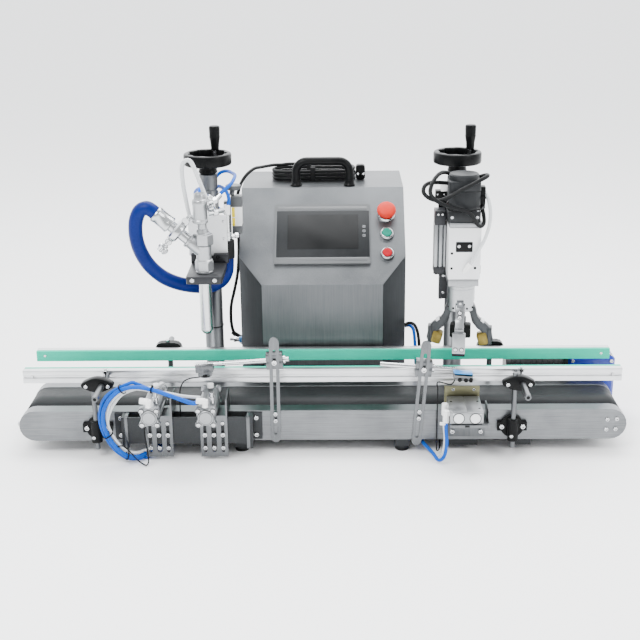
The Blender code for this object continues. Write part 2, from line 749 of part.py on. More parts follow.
# ---------------------------------------------------------------- filling head
NOZZLE_Y = BELT_Y
HOLDER_BOTTOM = 0.2780
HOLDER_TOP = 0.2930
BRANCH_FOOT = 0.3330
BRANCH_TILT = math.radians(41.0)
HOSE_RADIUS = 0.0140
HOSE_END = (-0.1925, 0.1830, 0.2960)
HOSE_ROUTE = (
    (-0.3352, 0.0803, 0.4225),
    (-0.3475, 0.0807, 0.4170),
    (-0.3555, 0.0815, 0.4020),
    (-0.3590, 0.0830, 0.3820),
    (-0.3580, 0.0850, 0.3560),
    (-0.3500, 0.0890, 0.3270),
    (-0.3340, 0.0960, 0.2980),
    (-0.3100, 0.1080, 0.2730),
    (-0.2800, 0.1220, 0.2560),
    (-0.2480, 0.1350, 0.2470),
    (-0.2210, 0.1450, 0.2460),
    (-0.2030, 0.1620, 0.2520),
    (-0.1942, 0.1780, 0.2650),
)


def fill_carriage():
    """Lift sleeve, back plate, nozzle holder and the hose fitting beside the plate."""
    sleeve = lift_sleeve(FILL_COLUMN_X, 0.0230, 0.3000, 0.3700)
    plate = block((-0.2665, 0.1600, 0.2970), (-0.1890, 0.1720, 0.3780), 0.001)
    holder = block((-0.2610, 0.0450, HOLDER_BOTTOM), (-0.1910, 0.1640, HOLDER_TOP), 0.003)
    riser = block((-0.2620, 0.1480, HOLDER_TOP - 0.002), (-0.1870, 0.1660, 0.3100))
    hole = rod(0.0129, (FILL_X, NOZZLE_Y, 0.25), (FILL_X, NOZZLE_Y, 0.32), 20)
    x, y, z = HOSE_END
    lug = block((-0.2040, 0.1700, 0.3420), (x, y, 0.3520))
    fitting = rod(0.0070, (x, y, z + 0.030), (x, y, 0.4150), 14)
    crimp = rod(0.0160, HOSE_END, (x, y, z + 0.035), 20)
    solid = cut(join(holder, plate, riser, sleeve, lug, fitting, crimp), hole)
    join(solid, lift_nut(FILL_COLUMN_X, 0.3100, 0.3600))
    part("fill_carriage", solid, "dark_steel", origin=(FILL_COLUMN_X, COLUMN_Y, 0.3350))


def angled(distance):
    """A point on the valve's inlet branch, which rises to the left."""
    along, up = math.cos(BRANCH_TILT), math.sin(BRANCH_TILT)
    return (FILL_X - distance * along, NOZZLE_Y, BRANCH_FOOT + distance * up)


def fill_valve():
    """Angle seat valve with its air actuator, inlet branch, pipe clamp and hose crimp."""
    axis = (FILL_X, NOZZLE_Y)

    def stack(radius, low, high, sides, shift=0.0):
        x, y = axis
        return rod(radius, (x + shift, y, low), (x + shift, y, high), sides)

    body = stack(0.0145, 0.2960, 0.3520, 20)
    pieces = [
        stack(0.0195, HOLDER_TOP + GAP, 0.3180, 6),
        stack(0.0190, 0.3490, 0.3710, 6),
        stack(0.0110, 0.3700, 0.3800, 16),
        stack(0.0084, 0.3790, 0.3960, 16, -0.0015),
        stack(0.0135, 0.3940, 0.4360, 20, -0.0040),
        stack(0.0108, 0.4350, 0.4510, 16, -0.0040),
        rod(0.0135, angled(0.0), angled(0.0600), 16),
        rod(0.0250, angled(0.0580), angled(0.0740), 20),
        rod(0.0110, angled(0.0730), angled(0.0840), 16),
        rod(0.0168, angled(0.0830), angled(0.1200), 20),
    ]
    valve = join(body, *pieces)
    bore = stack(0.0055, 0.2800, 0.4420, 12)
    part("fill_valve", cut(valve, bore), "stainless", origin=(*axis, HOLDER_TOP))

    stem = rod(0.0045, (*axis, 0.3000), (*axis, 0.4280), 12)
    part("valve_stem", stem, "chrome", origin=(*axis, 0.3000))

    tip, top = 0.1676, HOLDER_TOP - 0.0004
    profile = [
        (0.0095, top),
        (0.0125, top),
        (0.0125, tip + 0.008),
        (0.0080, tip),
        (0.0050, tip),
        (0.0095, tip + 0.008),
    ]
    part("nozzle_tube", turned(profile, (*axis, 0), 20), "chrome")


def product_hose():
    """The hose from the inlet branch, round under the holder, to the crimp on the carriage."""
    x, y, z = HOSE_END
    ends = (angled(0.1210), angled(0.1300)), ((x, y, z - 0.0120), (x, y, z - 0.0010))
    points = smooth_route((*ends[0], *HOSE_ROUTE, *ends[1]), 0.0150)
    part("product_hose", tube(points, HOSE_RADIUS, 3), "blue_hose")


# ---------------------------------------------------------------- capping head
HEAD_Y = BELT_Y
CHUCK_BOTTOM = 0.2160
CHUCK_TOP = 0.2702
CHUCK_RADIUS = 0.0271
CHUCK_TURN = -7.5
JAW_PIVOT = (0.0205, 0.2225)
JAW_WIDTH = 0.0170


def cap_carriage():
    """Lift sleeve with the slide plate and the air cylinder that lowers the head."""
    sleeve = lift_sleeve(CAP_COLUMN_X, 0.0240, 0.2900, 0.3700)
    outline = [
        (0.2360, 0.2210),
        (0.2620, 0.2240),
        (0.2620, 0.2680),
        (0.3140, 0.2680),
        (0.3140, 0.4000),
        (0.2360, 0.4000),
    ]
    plate = prism(outline, 0.1230, 0.1380, "XZ")
    bridge = block((CAP_X - 0.020, 0.1370, 0.3000), (CAP_X + 0.020, 0.1730, 0.3600))
    cylinder = block((0.2232, 0.0920, 0.2810), (0.2437, 0.1240, 0.4060), 0.002)
    solid = join(plate, sleeve, bridge, cylinder, lift_nut(CAP_COLUMN_X, 0.3050, 0.3550))
    part("cap_carriage", solid, "dark_steel", origin=(CAP_COLUMN_X, COLUMN_Y, 0.3300))


def cap_head():
    """The head's bearing housing and the servo motor on top of it."""
    left, right = 0.2460, 0.3075
    body = block((left, 0.0450, 0.2845), (right, 0.1150, 0.3875), 0.001)
    foot = block((left + 0.001, 0.0465, 0.2708), (right - 0.002, 0.1130, 0.2860))
    top = block((left + 0.001, 0.0480, 0.3865), (right - 0.001, 0.1120, 0.3960))
    shoe = block((CAP_X - 0.020, 0.1140, 0.2950), (CAP_X + 0.020, 0.1225, 0.3750))
    bore = rod(0.0100, (CAP_X, HEAD_Y, 0.25), (CAP_X, HEAD_Y, 0.3900), 20)
    part("cap_housing", cut(join(body, foot, top, shoe), bore), "aluminium")

    half = 0.0300
    flange = block(
        (CAP_X - 0.031, HEAD_Y - half, 0.3963), (CAP_X + 0.031, HEAD_Y + half, 0.4180), 0.001
    )
    case = block((CAP_X - half, HEAD_Y - half, 0.4170), (CAP_X + half, HEAD_Y + half, 0.4750), 0.004)
    cover = rod(0.0290, (CAP_X, HEAD_Y, 0.4740), (CAP_X, HEAD_Y, 0.4865), 24)
    plug = block((CAP_X + 0.026, HEAD_Y - 0.010, 0.4270), (CAP_X + 0.0410, HEAD_Y + 0.010, 0.4610))
    part("cap_motor", join(flange, case, cover, plug), "black_plastic")


def quarter_turn(index):
    """Turn about the chuck's axis that brings the front jaw to the given quarter."""
    axis = Matrix.Translation((CAP_X, HEAD_Y, 0))
    turn = math.radians(90 * index + CHUCK_TURN)
    return axis @ Matrix.Rotation(turn, 4, "Z") @ axis.inverted()


def chuck():
    """The turning chuck with its spindle and four jaw slots."""
    drum = rod(CHUCK_RADIUS, (CAP_X, HEAD_Y, CHUCK_BOTTOM), (CAP_X, HEAD_Y, CHUCK_TOP), 32)
    spindle = rod(0.0085, (CAP_X, HEAD_Y, 0.2600), (CAP_X, HEAD_Y, 0.3850), 16)
    solid = join(drum, spindle)
    slots = []
    for index in range(4):
        slot = block(
            (CAP_X - JAW_WIDTH / 2 - 0.0007, HEAD_Y - 0.0400, CHUCK_BOTTOM - 0.010),
            (CAP_X + JAW_WIDTH / 2 + 0.0007, HEAD_Y - 0.0110, 0.2335),
        )
        slot.matrix_world = quarter_turn(index) @ slot.matrix_world
        slots.append(slot)
    part("cap_chuck", cut(solid, *slots), "aluminium", origin=(CAP_X, HEAD_Y, CHUCK_BOTTOM))


def jaws():
    """Four bent fingers with brass pads; each turns on a pin in its chuck slot."""
    outline = [
        (-0.0150, 0.2290),
        (-0.0150, 0.2130),
        (-0.0205, 0.2105),
        (-0.0230, 0.2060),
        (-0.0246, 0.1990),
        (-0.0274, 0.1926),
        (-0.0370, 0.1807),
        (-0.0448, 0.1745),
        (-0.0496, 0.1686),
        (-0.0515, 0.1622),
        (-0.0541, 0.1450),
        (-0.0570, 0.1430),
        (-0.0630, 0.1490),
        (-0.0655, 0.1545),
        (-0.0643, 0.1620),
        (-0.0624, 0.1706),
        (-0.0598, 0.1785),
        (-0.0530, 0.1853),
        (-0.0382, 0.1965),
        (-0.0342, 0.2022),
        (-0.0320, 0.2090),
        (-0.0307, 0.2165),
        (-0.0250, 0.2290),
    ]
    placed = [(HEAD_Y + a, z) for a, z in outline]
    half = JAW_WIDTH / 2
    for index, side in enumerate(("front", "right", "rear", "left")):
        finger = prism(placed, CAP_X - half, CAP_X + half, "YZ")
        wide = 0.0210 if side == "rear" else 0.0118
        pad = block(
            (CAP_X - wide, HEAD_Y - 0.0560, 0.1410),
            (CAP_X + wide, HEAD_Y - 0.0320, 0.1700),
            0.004,
        )
        tip = block(
            (CAP_X - 0.0118, HEAD_Y - 0.0640, 0.1440),
            (CAP_X + 0.0118, HEAD_Y - 0.0540, 0.1830),
            0.003,
        )
        pad = join(pad, tip)
        jaw = join(finger, pad)
        jaw.matrix_world = quarter_turn(index) @ jaw.matrix_world
        pivot = quarter_turn(index) @ Vector((CAP_X, HEAD_Y - JAW_PIVOT[0], JAW_PIVOT[1]))
        part(f"cap_jaw_{side}", jaw, "dark_steel", origin=pivot)


# ---------------------------------------------------------------- cabinet
PANEL = Matrix.Translation((CABINET_X, CABINET_FRONT, PANEL_FOOT)) @ Matrix.Rotation(
    PANEL_TILT, 4, "X"
)
HMI_CENTRE = (0.0, 0.1197)
HMI_SIZE = (0.2004, 0.1465)
BUTTONS = (
    ("emergency_stop", 0.1685, 0.0200, 0.0270, "red_plastic"),
    ("start_button", 0.1202, 0.0115, 0.0090, "green_plastic"),
    ("stop_button", 0.0718, 0.0115, 0.0090, "red_plastic"),
)
BUTTON_X = 0.1352
BUTTON_HOLE = 0.0112
HANDLE_X = (-0.0555, 0.0600)
HANDLE_Y = 0.3720


def cabinet_body():
    """The folded front, sides, sloping panel and top, open at the bottom and the back."""
    half = CABINET_WIDTH / 2
    chamfer = CABINET_CHAMFER
    plan = [
        (CABINET_X - half + chamfer, CABINET_FRONT),
        (CABINET_X + half - chamfer, CABINET_FRONT),
        (CABINET_X + half, CABINET_FRONT + chamfer),
        (CABINET_X + half, CABINET_BACK),
        (CABINET_X - half, CABINET_BACK),
        (CABINET_X - half, CABINET_FRONT + chamfer),
    ]
    bottom = -PLATE_HEIGHT / 2
    body = prism(plan, bottom, CABINET_TOP, "XY")
    wedge = block((-0.3, -0.2, 0.0), (0.3, 0.5, 0.3))
    wedge.matrix_world = PANEL @ wedge.matrix_world
    cut(body, wedge)

    bm = bmesh.new()
    bm.from_mesh(body.data)
    bm.transform(body.matrix_world)
    body.matrix_world = Matrix.Identity(4)
    bm.normal_update()
    open_faces = [face for face in bm.faces if face.normal.z < -0.9 or face.normal.y > 0.9]
    bmesh.ops.delete(bm, geom=open_faces, context="FACES")
    bm.to_mesh(body.data)
    bm.free()
    sheet = body.modifiers.new("sheet", "SOLIDIFY")
    sheet.thickness = CABINET_SHEET
    sheet.offset = -1.0
    sheet.use_even_offset = True
    body.data = evaluated_mesh(body)
    body.modifiers.clear()

    window = block(
        (-HMI_SIZE[0] / 2 + 0.0045, HMI_CENTRE[1] - HMI_SIZE[1] / 2 + 0.0045, -0.02),
        (HMI_SIZE[0] / 2 - 0.0045, HMI_CENTRE[1] + HMI_SIZE[1] / 2 - 0.0045, 0.02),
    )
    window.matrix_world = PANEL @ window.matrix_world
    holes = [window]
    for _, up, _, _, _ in BUTTONS:
        start, end = PANEL @ Vector((BUTTON_X, up, -0.02)), PANEL @ Vector((BUTTON_X, up, 0.02))
        holes.append(rod(BUTTON_HOLE, start, end, 20))
    inner, outer = Vector(GLAND_END) + 0.0220 * GLAND_LINE, Vector(GLAND_END)
    gland = join(rod(0.0095, inner, outer + 0.006 * GLAND_LINE, 16), rod(0.0068, inner, outer, 16))
    part("cabinet_shell", join(cut(body, *holes), gland), "stainless")


def cabinet_back():
    """The rear cover, folded forward at its foot to close the bottom."""
    half = CABINET_WIDTH / 2 - CABINET_SHEET - 0.0005
    left, right = CABINET_X - half, CABINET_X + half
    bottom = -PLATE_HEIGHT / 2 + 0.0005
    cover = block(
        (left, CABINET_BACK - 0.0025, bottom), (right, CABINET_BACK - 0.0005, CABINET_TOP - 0.0025)
    )
    floor = block((left, 0.2320, bottom), (right, CABINET_BACK - 0.001, bottom + 0.002))
    vents = [
        block((CABINET_X - 0.050, CABINET_BACK - 0.01, z), (CABINET_X + 0.050, CABINET_BACK + 0.01, z + 0.006))
        for z in (0.300, 0.320, 0.340)
    ]
    part("cabinet_rear_cover", cut(join(cover, floor), *vents), "stainless")


def operator_panel():
    """Touch screen unit and the three push buttons, all square to the sloping panel."""
    width, height = HMI_SIZE
    x, up = HMI_CENTRE
    bezel = block(
        (x - width / 2, up - height / 2, GAP), (x + width / 2, up + height / 2, 0.0062), 0.0015
    )
    bezel.matrix_world = PANEL @ bezel.matrix_world
    body = block(
        (x - width / 2 + 0.006, up - height / 2 + 0.006, -0.0340),
        (x + width / 2 - 0.006, up + height / 2 - 0.006, 0.0020),
    )
    body.matrix_world = PANEL @ body.matrix_world
    part("touch_screen", join(bezel, body), "grey_plastic")

    stem, depth = 0.0098, -0.0250
    for name, up, radius, height, material in BUTTONS:
        if radius > BUTTON_HOLE + 0.002:
            seat = height - 0.0145
            profile = [
                (0.0, height),
                (radius * 0.86, height),
                (radius, height - 0.003),
                (radius, height - 0.008),
                (radius * 0.80, seat),
                (stem, seat),
                (stem, depth),
                (0.0, depth),
            ]
        else:
            profile = [
                (0.0, height),
                (stem - 0.001, height),
                (stem, height - 0.001),
                (stem, depth),
                (0.0, depth),
            ]
        button = turned(profile, steps=24)
        button.matrix_world = PANEL @ Matrix.Translation((BUTTON_X, up, 0))
        part(name, button, material, origin=PANEL @ Vector((BUTTON_X, up, 0)))


def carry_handle():
    """A bent tube handle on the cabinet's top."""
    radius, top, bend = 0.0090, CABINET_TOP + 0.0530, 0.0200
    left, right = HANDLE_X
    base = CABINET_TOP + GAP
    path = [(left, base)]
    path += arc((left + bend, top - bend), bend, 180, 90, 5)
    path += arc((right - bend, top - bend), bend, 90, 0, 5)
    path += [(right, base)]
    part("carry_handle", tube([(x, HANDLE_Y, z) for x, z in path], radius, 3), "black_plastic")


# ---------------------------------------------------------------- power cord and air hoses
CORD_RADIUS = 0.0036
GLAND_END = (-0.1868, 0.3300, 0.0690)
GLAND_LINE = Vector((0.77, 0.0, -0.64)).normalized()
COIL_Y = 0.4480
COIL_X = (-0.1120, 0.0740)
COIL_WIDTH = 0.0740
COIL_LOW = CABINET_TOP + GAP
COIL_HIGH = CABINET_TOP + 0.0310
LEAD_ROUTE = (
    (-0.2010, 0.3305, 0.0890),
    (-0.2035, 0.3315, 0.1150),
    (-0.2015, 0.3330, 0.1450),
    (-0.1930, 0.3350, 0.1800),
    (-0.1850, 0.3370, 0.2200),
    (-0.1815, 0.3400, 0.2750),
    (-0.1825, 0.3450, 0.3200),
    (-0.1835, 0.3520, 0.3650),
    (-0.1790, 0.3620, 0.3970),
    (-0.1660, 0.3760, 0.4210),
    (-0.1480, 0.4000, 0.4330),
    (-0.1350, 0.4280, 0.4300),
    (-0.1230, 0.4470, 0.4215),
)


def power_cord():
    """The cord's lead up the cabinet's side, its wound hank on the top, and its plug."""
    left, right = COIL_X
    start = Vector(GLAND_END) - 0.0008 * GLAND_LINE
    end = (left - 0.0014, COIL_Y, 0.4200)
    points = smooth_route((start, start - 0.009 * GLAND_LINE, *LEAD_ROUTE, end), 0.0150)
    part("power_cord_lead", tube(points, CORD_RADIUS, 2), "cord_rubber")
    middle = (left + right) / 2
    outline = stadium(right - left, COIL_WIDTH, (middle, COIL_Y), 8)
    part("power_cord_coil", prism(outline, COIL_LOW, COIL_HIGH, "XY"), "cord_rubber")
    y, z = COIL_Y - 0.0060, COIL_LOW + 0.0162
    body = block((right + GAP, y - 0.014, z - 0.016), (right + 0.021, y + 0.014, z + 0.016), 0.004)
    middle, front = right + 0.0107, y - 0.0130
    pins = [
        rod(0.0024, (middle + offset, front, z), (middle + offset, front - 0.0180, z), 10)
        for offset in (-0.0060, 0.0060)
    ]
    part("power_plug", join(body, *pins), "black_plastic")


AIR_ROUTE = (
    (-0.2410, -0.0765, 0.0800),
    (-0.2600, -0.0760, 0.0860),
    (-0.2900, -0.0740, 0.0970),
    (-0.3200, -0.0710, 0.1060),
    (-0.3500, -0.0680, 0.1105),
    (-0.3780, -0.0650, 0.1040),
    (-0.4010, -0.0620, 0.0860),
    (-0.4160, -0.0600, 0.0600),
    (-0.4190, -0.0590, 0.0330),
    (-0.4120, -0.0580, 0.0050),
    (-0.3970, -0.0560, -0.0220),
    (-0.3790, -0.0510, -0.0400),
    (-0.3600, -0.0430, -0.0460),
    (-0.3510, -0.0290, -0.0480),
    (-0.3400, -0.0130, -0.0495),
    (-0.3280, 0.0070, -0.0515),
    (-0.3190, 0.0350, -0.0535),
    (-0.3140, 0.0700, -0.0546),
    (-0.3110, 0.1100, -0.0546),
    (-0.3070, 0.1500, -0.0546),
    (-0.3000, 0.1900, -0.0546),
    (-0.2880, 0.2280, -0.0540),
    (-0.2680, 0.2580, -0.0480),
    (-0.2420, 0.2780, -0.0350),
    (-0.2160, 0.2870, -0.0190),
    (-0.1950, 0.2900, -0.0080),
    (-0.1850, 0.2900, -0.0050),
    (CABINET_X - CABINET_WIDTH / 2 - 0.0005, 0.2900, -0.0045),
)


def air_hose():
    part("air_hose", tube(smooth_route(AIR_ROUTE, 0.0190), 0.0050, 2), "blue_hose")


base_frame()
conveyor()
drive()
rail_supports()
sensors()
bottle_stops()
bottle_clamp()
column("fill_column", FILL_COLUMN_X)
column("cap_column", CAP_COLUMN_X)
handwheel("fill_handwheel", "fill_wheel_grip", FILL_COLUMN_X, (0.0123, 0.0340))
handwheel("cap_handwheel", "cap_wheel_grip", CAP_COLUMN_X, (0.0275, 0.0235))
fill_carriage()
fill_valve()
product_hose()
cap_carriage()
cap_head()
chuck()
jaws()
cabinet_body()
cabinet_back()
operator_panel()
carry_handle()
power_cord()
air_hose()
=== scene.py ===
"""Looks of the benchtop filling and capping machine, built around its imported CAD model.

Modelling functions work in millimetres, in the layout coordinates that the CAD source uses: X is 0
at the conveyor's middle, Y on the outer face of its front side plate and Z at that plate's
mid-height. Solid turns them into metres and shifts them by ORIGIN into the shared frame.
"""

import math
from collections import namedtuple

import bmesh
import bpy
from mathutils import Matrix, Vector


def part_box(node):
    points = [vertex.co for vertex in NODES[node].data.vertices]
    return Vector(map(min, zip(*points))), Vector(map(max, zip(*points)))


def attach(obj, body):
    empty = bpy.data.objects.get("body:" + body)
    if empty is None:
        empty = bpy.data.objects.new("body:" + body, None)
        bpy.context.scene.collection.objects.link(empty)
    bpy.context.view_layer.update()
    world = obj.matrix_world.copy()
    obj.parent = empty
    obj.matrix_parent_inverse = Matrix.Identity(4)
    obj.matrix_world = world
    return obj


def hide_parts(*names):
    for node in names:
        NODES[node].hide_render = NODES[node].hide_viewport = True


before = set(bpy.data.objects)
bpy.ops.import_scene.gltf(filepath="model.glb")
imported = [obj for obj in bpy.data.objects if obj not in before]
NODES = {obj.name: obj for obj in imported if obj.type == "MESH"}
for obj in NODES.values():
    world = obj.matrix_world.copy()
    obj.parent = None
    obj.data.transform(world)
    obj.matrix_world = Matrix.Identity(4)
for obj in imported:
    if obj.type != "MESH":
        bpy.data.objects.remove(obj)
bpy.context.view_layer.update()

MM = 0.001
plate_low, plate_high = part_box("front_side_plate")
ORIGIN = Vector(
    ((plate_low.x + plate_high.x) / 2, plate_low.y, (plate_low.z + plate_high.z) / 2)
)
FLOOR = -ORIGIN.z / MM
X, Y, Z = Vector((1, 0, 0)), Vector((0, 1, 0)), Vector((0, 0, 1))


# ---------------------------------------------------------------- camera, light and floor
CAMERA_PLACE = Vector((0.0344, -2.1361, 0.9433))
PITCH, YAW, ROLL = math.radians(18.715), math.radians(-0.949), math.radians(-0.624)
LENS, SENSOR = 66.26, 36.0
LIGHTS = (
    ("key", (-1.1, -1.7, 2.3), (0, 0, 0.2), (1.4, 1.0), 80),
    ("fill", (1.9, -1.5, 1.5), (0, 0, 0.2), (1.2, 1.2), 36),
    ("top", (0.1, 0.5, 2.4), (0, 0, 0.1), (2.2, 1.0), 90),
)
SKY_COLOUR = (0.97, 0.985, 1.0, 1.0)
SKY_SPAN, SKY_STRENGTH = (-0.60, 0.95), (0.95, 4.8)
FLOOR_SIZE, FLOOR_COLOUR, FLOOR_ROUGHNESS = 80, (0.96, 0.96, 0.96, 1), 0.9


def show(name, data):
    """A new object for the data, in the scene."""
    obj = bpy.data.objects.new(name, data)
    bpy.context.scene.collection.objects.link(obj)
    return obj


def camera():
    """Long lens, a little above the machine, looking at it from the operator's side."""
    forward = Vector(
        (math.sin(YAW) * math.cos(PITCH), math.cos(YAW) * math.cos(PITCH), -math.sin(PITCH))
    )
    level = Vector((math.cos(YAW), -math.sin(YAW), 0))
    above = level.cross(forward)
    right = math.cos(ROLL) * level + math.sin(ROLL) * above
    up = math.cos(ROLL) * above - math.sin(ROLL) * level
    data = bpy.data.cameras.new("camera")
    data.lens = LENS
    data.sensor_width = SENSOR
    data.clip_start, data.clip_end = 0.05, 200
    obj = show("camera", data)
    turned = Matrix((right, up, -forward)).transposed().to_4x4()
    obj.matrix_world = Matrix.Translation(CAMERA_PLACE + ORIGIN) @ turned
    bpy.context.scene.camera = obj


def area_light(name, place, aim, size, power):
    data = bpy.data.lights.new(name, "AREA")
    data.shape = "RECTANGLE"
    data.size, data.size_y = size
    data.energy = power
    obj = show(name, data)
    obj.location = place
    obj.rotation_euler = (Vector(aim) - Vector(place)).to_track_quat("-Z", "Y").to_euler()


def spread(nodes, source, target, old, new=(0, 1), kind="LINEAR"):
    """Carry the source socket's values from the old range to the new one, into the target."""
    node = nodes.new("ShaderNodeMapRange")
    node.interpolation_type = kind
    for name, value in zip(("From Min", "From Max", "To Min", "To Max"), (*old, *new)):
        node.inputs[name].default_value = value
    link = node.id_data.links.new
    link(source, node.inputs["Value"])
    link(node.outputs["Result"], target)


def studio():
    """Plain pale floor, pale surroundings and three large soft lights."""
    world = bpy.data.worlds.new("studio")
    bpy.context.scene.world = world
    world.use_nodes = True
    nodes, link = world.node_tree.nodes, world.node_tree.links.new
    background = nodes["Background"]
    background.inputs["Color"].default_value = SKY_COLOUR
    place = nodes.new("ShaderNodeTexCoord")
    split = nodes.new("ShaderNodeSeparateXYZ")
    link(place.outputs["Generated"], split.inputs["Vector"])
    strength = background.inputs["Strength"]
    spread(nodes, split.outputs["Y"], strength, SKY_SPAN, SKY_STRENGTH, "SMOOTHSTEP")
    for light in LIGHTS:
        area_light(*light)
    bpy.ops.mesh.primitive_plane_add(size=FLOOR_SIZE)
    floor = bpy.context.object
    floor.name = "floor"
    paint = bpy.data.materials.new("floor")
    paint.use_nodes = True
    shader = paint.node_tree.nodes["Principled BSDF"]
    shader.inputs["Base Color"].default_value = FLOOR_COLOUR
    shader.inputs["Roughness"].default_value = FLOOR_ROUGHNESS
    floor.data.materials.append(paint)


# ---------------------------------------------------------------- materials
# grain is its count per metre, share how much it changes the colour, and specular how strongly a
# dark or dull finish mirrors its surroundings
Finish = namedtuple(
    "Finish",
    "slot colour metallic roughness grain share bump specular coat stretch",
    defaults=(0.5, 0, (1, 1, 1)),
)
FINISHES = {
    "steel_plate": Finish(
        "stainless", (0.162, 0.169, 0.176), 1, 0.38, 900, 0.26, 0.06, stretch=(0.02, 1, 1)
    ),
    "steel_sheet": Finish(
        "stainless", (0.112, 0.118, 0.124), 1, 0.42, 900, 0.18, 0.03, stretch=(1, 1, 0.02)
    ),
    # painted shade: a much darker copy of steel_sheet, laid on the cabinet's two chamfered corners
    "steel_painted_shade": Finish(
        "stainless", (0.034, 0.037, 0.04), 1, 0.42, 900, 0.18, 0.03, stretch=(1, 1, 0.02)
    ),
    "steel_part": Finish(
        "stainless", (0.125, 0.131, 0.137), 1, 0.3, 700, 0.18, 0.04, stretch=(1, 1, 0.05)
    ),
    "cast_steel": Finish("stainless", (0.38, 0.39, 0.4), 1, 0.34, 900, 0.14, 0.16),
    "polished": Finish("chrome", (0.58, 0.59, 0.6), 1, 0.18, 500, 0.05, 0.02, stretch=(1, 1, 0.1)),
    "screw_steel": Finish("stainless", (0.5, 0.51, 0.52), 1, 0.24, 700, 0.08, 0.05),
    "satin_aluminium": Finish(
        "rail_aluminium", (0.62, 0.63, 0.64), 1, 0.34, 700, 0.1, 0.03, stretch=(0.02, 1, 1)
    ),
    "clear_aluminium": Finish("cylinder_aluminium", (0.29, 0.3, 0.31), 0.9, 0.34, 900, 0.12, 0.06),
    "white_metal": Finish("cylinder_aluminium", (0.74, 0.75, 0.76), 0.25, 0.45, 700, 0.04, 0.05),
    "turned_aluminium": Finish(
        "roller_aluminium", (0.37, 0.38, 0.39), 1, 0.3, 160, 0.16, 0.05, stretch=(1, 1, 12)
    ),
    "black_anodised": Finish(
        "black_aluminium", (0.022, 0.023, 0.026), 0.4, 0.4, 900, 0.2, 0.06, 0.3
    ),
    "dark_coat": Finish("dark_paint", (0.024, 0.026, 0.028), 0.5, 0.42, 500, 0.18, 0.1, 0.3),
    "dark_steel": Finish(
        "post_steel", (0.12, 0.126, 0.132), 0.95, 0.36, 600, 0.16, 0.05, stretch=(1, 1, 0.05)
    ),
    # painted shade: the jaws' finger, darkened for the three jaws turned from the light; the front
    # jaw is drawn in clear_aluminium as the lit copy
    "finger_painted_shade": Finish("finger_steel", (0.045, 0.049, 0.052), 0.7, 0.38, 700, 0.14, 0.06),
    "brass": Finish("finger_steel", (0.2, 0.148, 0.028), 0.6, 0.38, 600, 0.18, 0.08),
    "motor_paint": Finish("motor_black", (0.012, 0.0135, 0.015), 0, 0.42, 700, 0.25, 0.1, 0.2),
    "blue_enamel": Finish("blue_paint", (0, 0.02, 0.26), 0, 0.34, 350, 0.12, 0.1, 0.3, 0.3),
    "black_plastic": Finish("black_plastic", (0.003, 0.0033, 0.0036), 0, 0.36, 900, 0.3, 0.08, 0.1),
    "gloss_black": Finish("black_plastic", (0.002, 0.0023, 0.0026), 0, 0.32, 300, 0.2, 0.04, 0.1),
    "panel_grey": Finish("grey_plastic", (0.07, 0.075, 0.079), 0, 0.42, 1200, 0.08, 0.08),
    "screen_glass": Finish("grey_plastic", (0.005, 0.0056, 0.0062), 0, 0.45, 40, 0.1, 0, 0.12),
    "screen_edge": Finish("grey_plastic", (0.014, 0.0155, 0.017), 0, 0.45, 60, 0.1, 0, 0.12),
    "belt": Finish(
        "belt", (0.014, 0.0155, 0.017), 0, 0.6, 420, 0.3, 0.12, 0.18, stretch=(0.2, 1, 1)
    ),
    "green_strip": Finish(
        "rail_aluminium", (0, 0.47, 0.32), 0, 0.45, 500, 0.06, 0.04, 0.1, stretch=(0.05, 1, 1)
    ),
    "estop_red": Finish("red_plastic", (0.55, 0.024, 0.012), 0, 0.45, 300, 0.08, 0.03, 0.15),
    "red_button": Finish("red_plastic", (0.36, 0, 0.01), 0, 0.4, 300, 0.06, 0.03, 0.12),
    "green_button": Finish("green_plastic", (0, 0.17, 0.115), 0, 0.4, 300, 0.06, 0.03, 0.12),
    "blue_hose": Finish("blue_hose", (0, 0.009, 0.105), 0, 0.36, 260, 0.12, 0.04, 0.12),
    "blue_tube": Finish("blue_hose", (0, 0.075, 0.42), 0, 0.42, 400, 0.06, 0.03, 0.1),
    "clear_tube": Finish("blue_hose", (0.55, 0.57, 0.58), 0, 0.25, 500, 0.1, 0.03, coat=0.3),
    "white_plastic": Finish(
        "cylinder_aluminium", (0.86, 0.86, 0.85), 0, 0.35, 500, 0.04, 0.04, coat=0.1
    ),
    "yellow_plastic": Finish("black_plastic", (0.82, 0.62, 0), 0, 0.4, 400, 0.05, 0.03),
    "sky_plastic": Finish("blue_hose", (0.03, 0.2, 0.5), 0, 0.32, 400, 0.05, 0.03, coat=0.2),
    "olive_plate": Finish(
        "stainless", (0.15, 0.145, 0.085), 0.9, 0.34, 600, 0.16, 0.05, stretch=(0.1, 1, 1)
    ),
    "cord_rubber": Finish("cord_rubber", (0.006, 0.0065, 0.007), 0, 0.44, 700, 0.25, 0.1, 0.12),
    "rubber": Finish("black_plastic", (0.008, 0.0085, 0.009), 0, 0.55, 700, 0.25, 0.15, 0.14),
}
BROAD_GRAIN = 14
FINE_DETAIL, BROAD_DETAIL = 3, 4
GRAIN_SPAN = 0.7, 1.3
GLOSS_SPAN = 0.85, 1.15
LEAST_LIFT = 0.002
BUMP_DEPTH = 0.0004
MADE = {}


